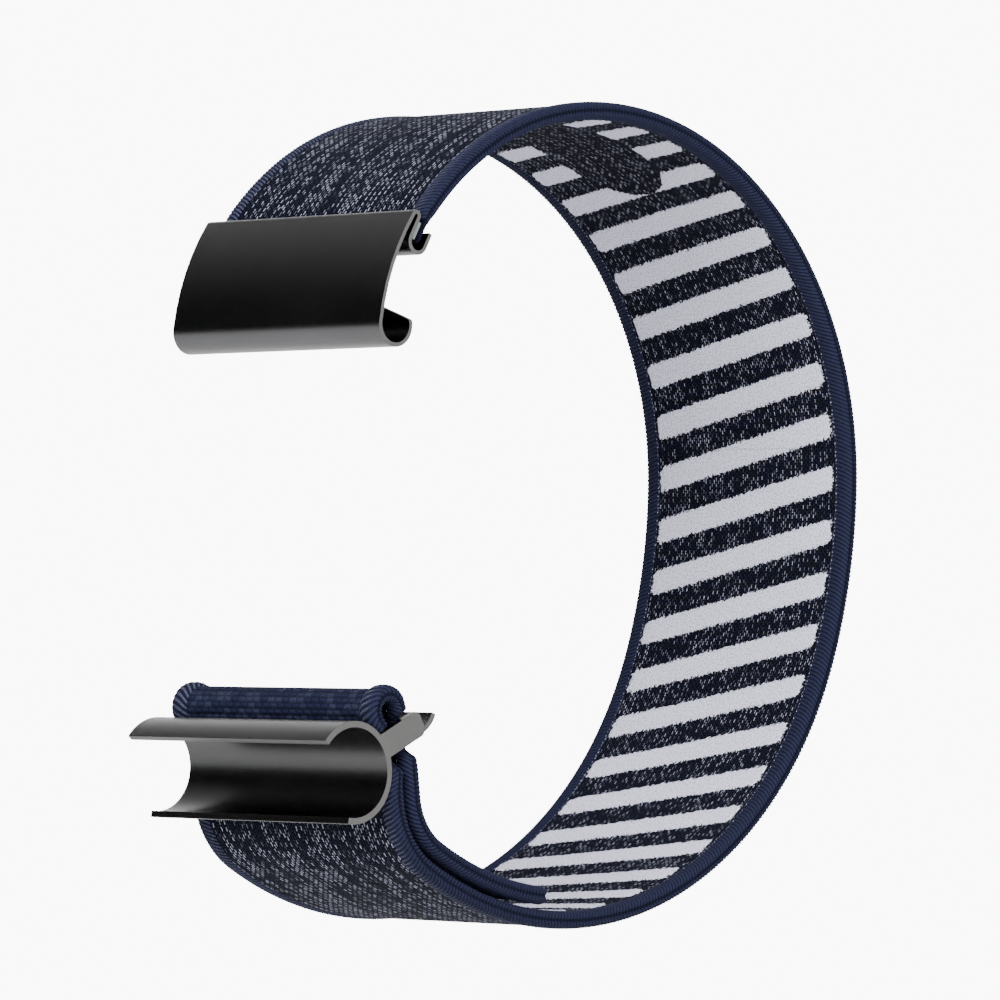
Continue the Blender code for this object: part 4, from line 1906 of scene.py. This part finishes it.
@dataclass
class Studio:
    """A pale sweep of floor and wall, soft lights and the camera."""

    eye: tuple[float, float, float] = (-324.106, -327.179, 23.203)
    view: tuple[float, float, float] = (0.70351, 0.71053, 0.014738)
    lens: float = 233.2
    lit_point: tuple[float, float, float] = (0.0, 0.0, 29.0)
    floor_white: float = 0.86
    floor_drop: float = 30.0
    sweep_front: float = 700.0
    sweep_depth: float = 500.0
    sweep_radius: float = 200.0
    sweep_height: float = 1200.0
    sweep_half_width: float = 1100.0
    horizon: Colour = (0.02, 0.02, 0.02, 1.0)
    sky: Colour = (1.05, 1.05, 1.07, 1.0)
    backdrop: Colour = (10.0, 10.0, 10.0, 1.0)

    def camera(self) -> None:
        """Places the camera and makes it the scene's."""
        data = bpy.data.cameras.new("camera")
        data.lens = self.lens
        data.sensor_width = 36.0
        data.clip_start = 0.01
        made = bpy.data.objects.new("camera", data)
        made.location = [value * MM for value in self.eye]
        made.rotation_euler = Vector(self.view).to_track_quat("-Z", "Y").to_euler()
        bpy.context.scene.collection.objects.link(made)
        bpy.context.scene.camera = made

    def sweep(self) -> None:
        """Builds the floor that curves up into a wall behind the band.

        The floor lies low enough for the band's ends to swing, and is only there to throw
        light back: the room behind it is as pale.
        """
        radius, depth, steps = self.sweep_radius, self.sweep_depth, 16
        profile = [(-self.sweep_front, 0.0), (depth, 0.0)]
        for step in range(1, steps + 1):
            angle = math.radians(90 * step / steps)
            profile.append(
                (depth + radius * math.sin(angle), radius * (1 - math.cos(angle)))
            )
        profile.append((depth + radius, self.sweep_height))
        side = Vector((math.cos(math.radians(45)), -math.sin(math.radians(45)), 0.0))
        ahead = Vector((side.y * -1, side.x, 0.0))
        vertices = []
        for along, height in profile:
            for across in (-self.sweep_half_width, self.sweep_half_width):
                place = ahead * along + side * across
                low = height - self.floor_drop
                vertices.append((place.x * MM, place.y * MM, low * MM))
        faces = [
            (2 * i, 2 * i + 1, 2 * i + 3, 2 * i + 2) for i in range(len(profile) - 1)
        ]
        mesh = bpy.data.meshes.new("sweep")
        mesh.from_pydata(vertices, [], faces)
        mesh.shade_smooth()
        made = bpy.data.objects.new("sweep", mesh)
        bpy.context.scene.collection.objects.link(made)
        finish, _, shader = bare_material("pale_floor")
        white = self.floor_white
        shader.inputs["Base Color"].default_value = (white, white, white, 1.0)
        shader.inputs["Roughness"].default_value = 0.9
        dress(made, finish)
        made.visible_camera = False
        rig.stage(made)

    def lamp(
        self,
        name: str,
        place: tuple[float, float, float],
        size: Point,
        power: float,
    ) -> None:
        """Adds a rectangular soft light that reflections leave out.

        Args:
            name: Name of the light.
            place: Where it hangs.
            size: Its width and height.
            power: Its power in watts.
        """
        data = bpy.data.lights.new(name, "AREA")
        data.shape = "RECTANGLE"
        data.size, data.size_y = size[0] * MM, size[1] * MM
        data.energy = power
        made = bpy.data.objects.new(name, data)
        made.location = [value * MM for value in place]
        aim = Vector(self.lit_point) - Vector(place)
        made.rotation_euler = aim.to_track_quat("-Z", "Y").to_euler()
        made.visible_glossy = False
        bpy.context.scene.collection.objects.link(made)

    def world(self) -> None:
        """Fills the room with light that is dim at the horizon and soft above."""
        made = bpy.data.worlds.new("room")
        made.use_nodes = True
        graph = Graph(made.node_tree)
        background = made.node_tree.nodes["Background"]
        towards = graph.node("TexCoord").outputs["Generated"]
        height = graph.node("SeparateXYZ", {0: towards}).outputs[2]
        sky = graph.step(0.35, 0.95, height)
        light = graph.mix(sky, self.horizon, self.sky)
        seen = graph.node("LightPath").outputs["Is Camera Ray"]
        colour = graph.mix(seen, light, self.backdrop)
        graph.wire(colour, background.inputs["Color"])
        background.inputs["Strength"].default_value = 1.0
        bpy.context.scene.world = made

    def build(self) -> None:
        """Sets the whole studio."""
        self.world()
        self.sweep()
        self.camera()
        self.lamp("overhead", (0.0, 0.0, 700.0), (900.0, 900.0), 3.0)
        self.lamp("left", (-650.0, -250.0, 380.0), (500.0, 500.0), 14.0)
        self.lamp("front", (-100.0, -700.0, 300.0), (500.0, 400.0), 12.0)


def main() -> None:
    """Builds the band and its studio and reports each part."""
    logging.basicConfig(level=logging.INFO, format="%(name)s: %(message)s")
    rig.load()
    solids = [list(corner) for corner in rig.bounds()]
    for old in ("Cube", "Light", "Camera"):
        if old in bpy.data.objects:
            bpy.data.objects.remove(bpy.data.objects[old])
    finishes = Finishes.make()
    path = StrapPath()
    shape = StrapShape(path)
    strap = Strap(path, shape, finishes)
    strap.build()
    tail = TailEnd(path, shape, finishes)
    tail.tape(strap)
    tail.seal(strap)
    CrimpedEnd(path, shape, finishes).build(strap)
    UpperClip(path, finishes).build()
    LowerClip(path, finishes).build()
    Studio().build()
    looks = [list(corner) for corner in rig.bounds()]
    with open("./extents.json", "w", encoding="utf-8") as sizes:
        json.dump({"solids": solids, "looks": looks}, sizes)
    LOG.info("solids %s, looks %s", solids, looks)


if __name__ == "__main__":
    main()
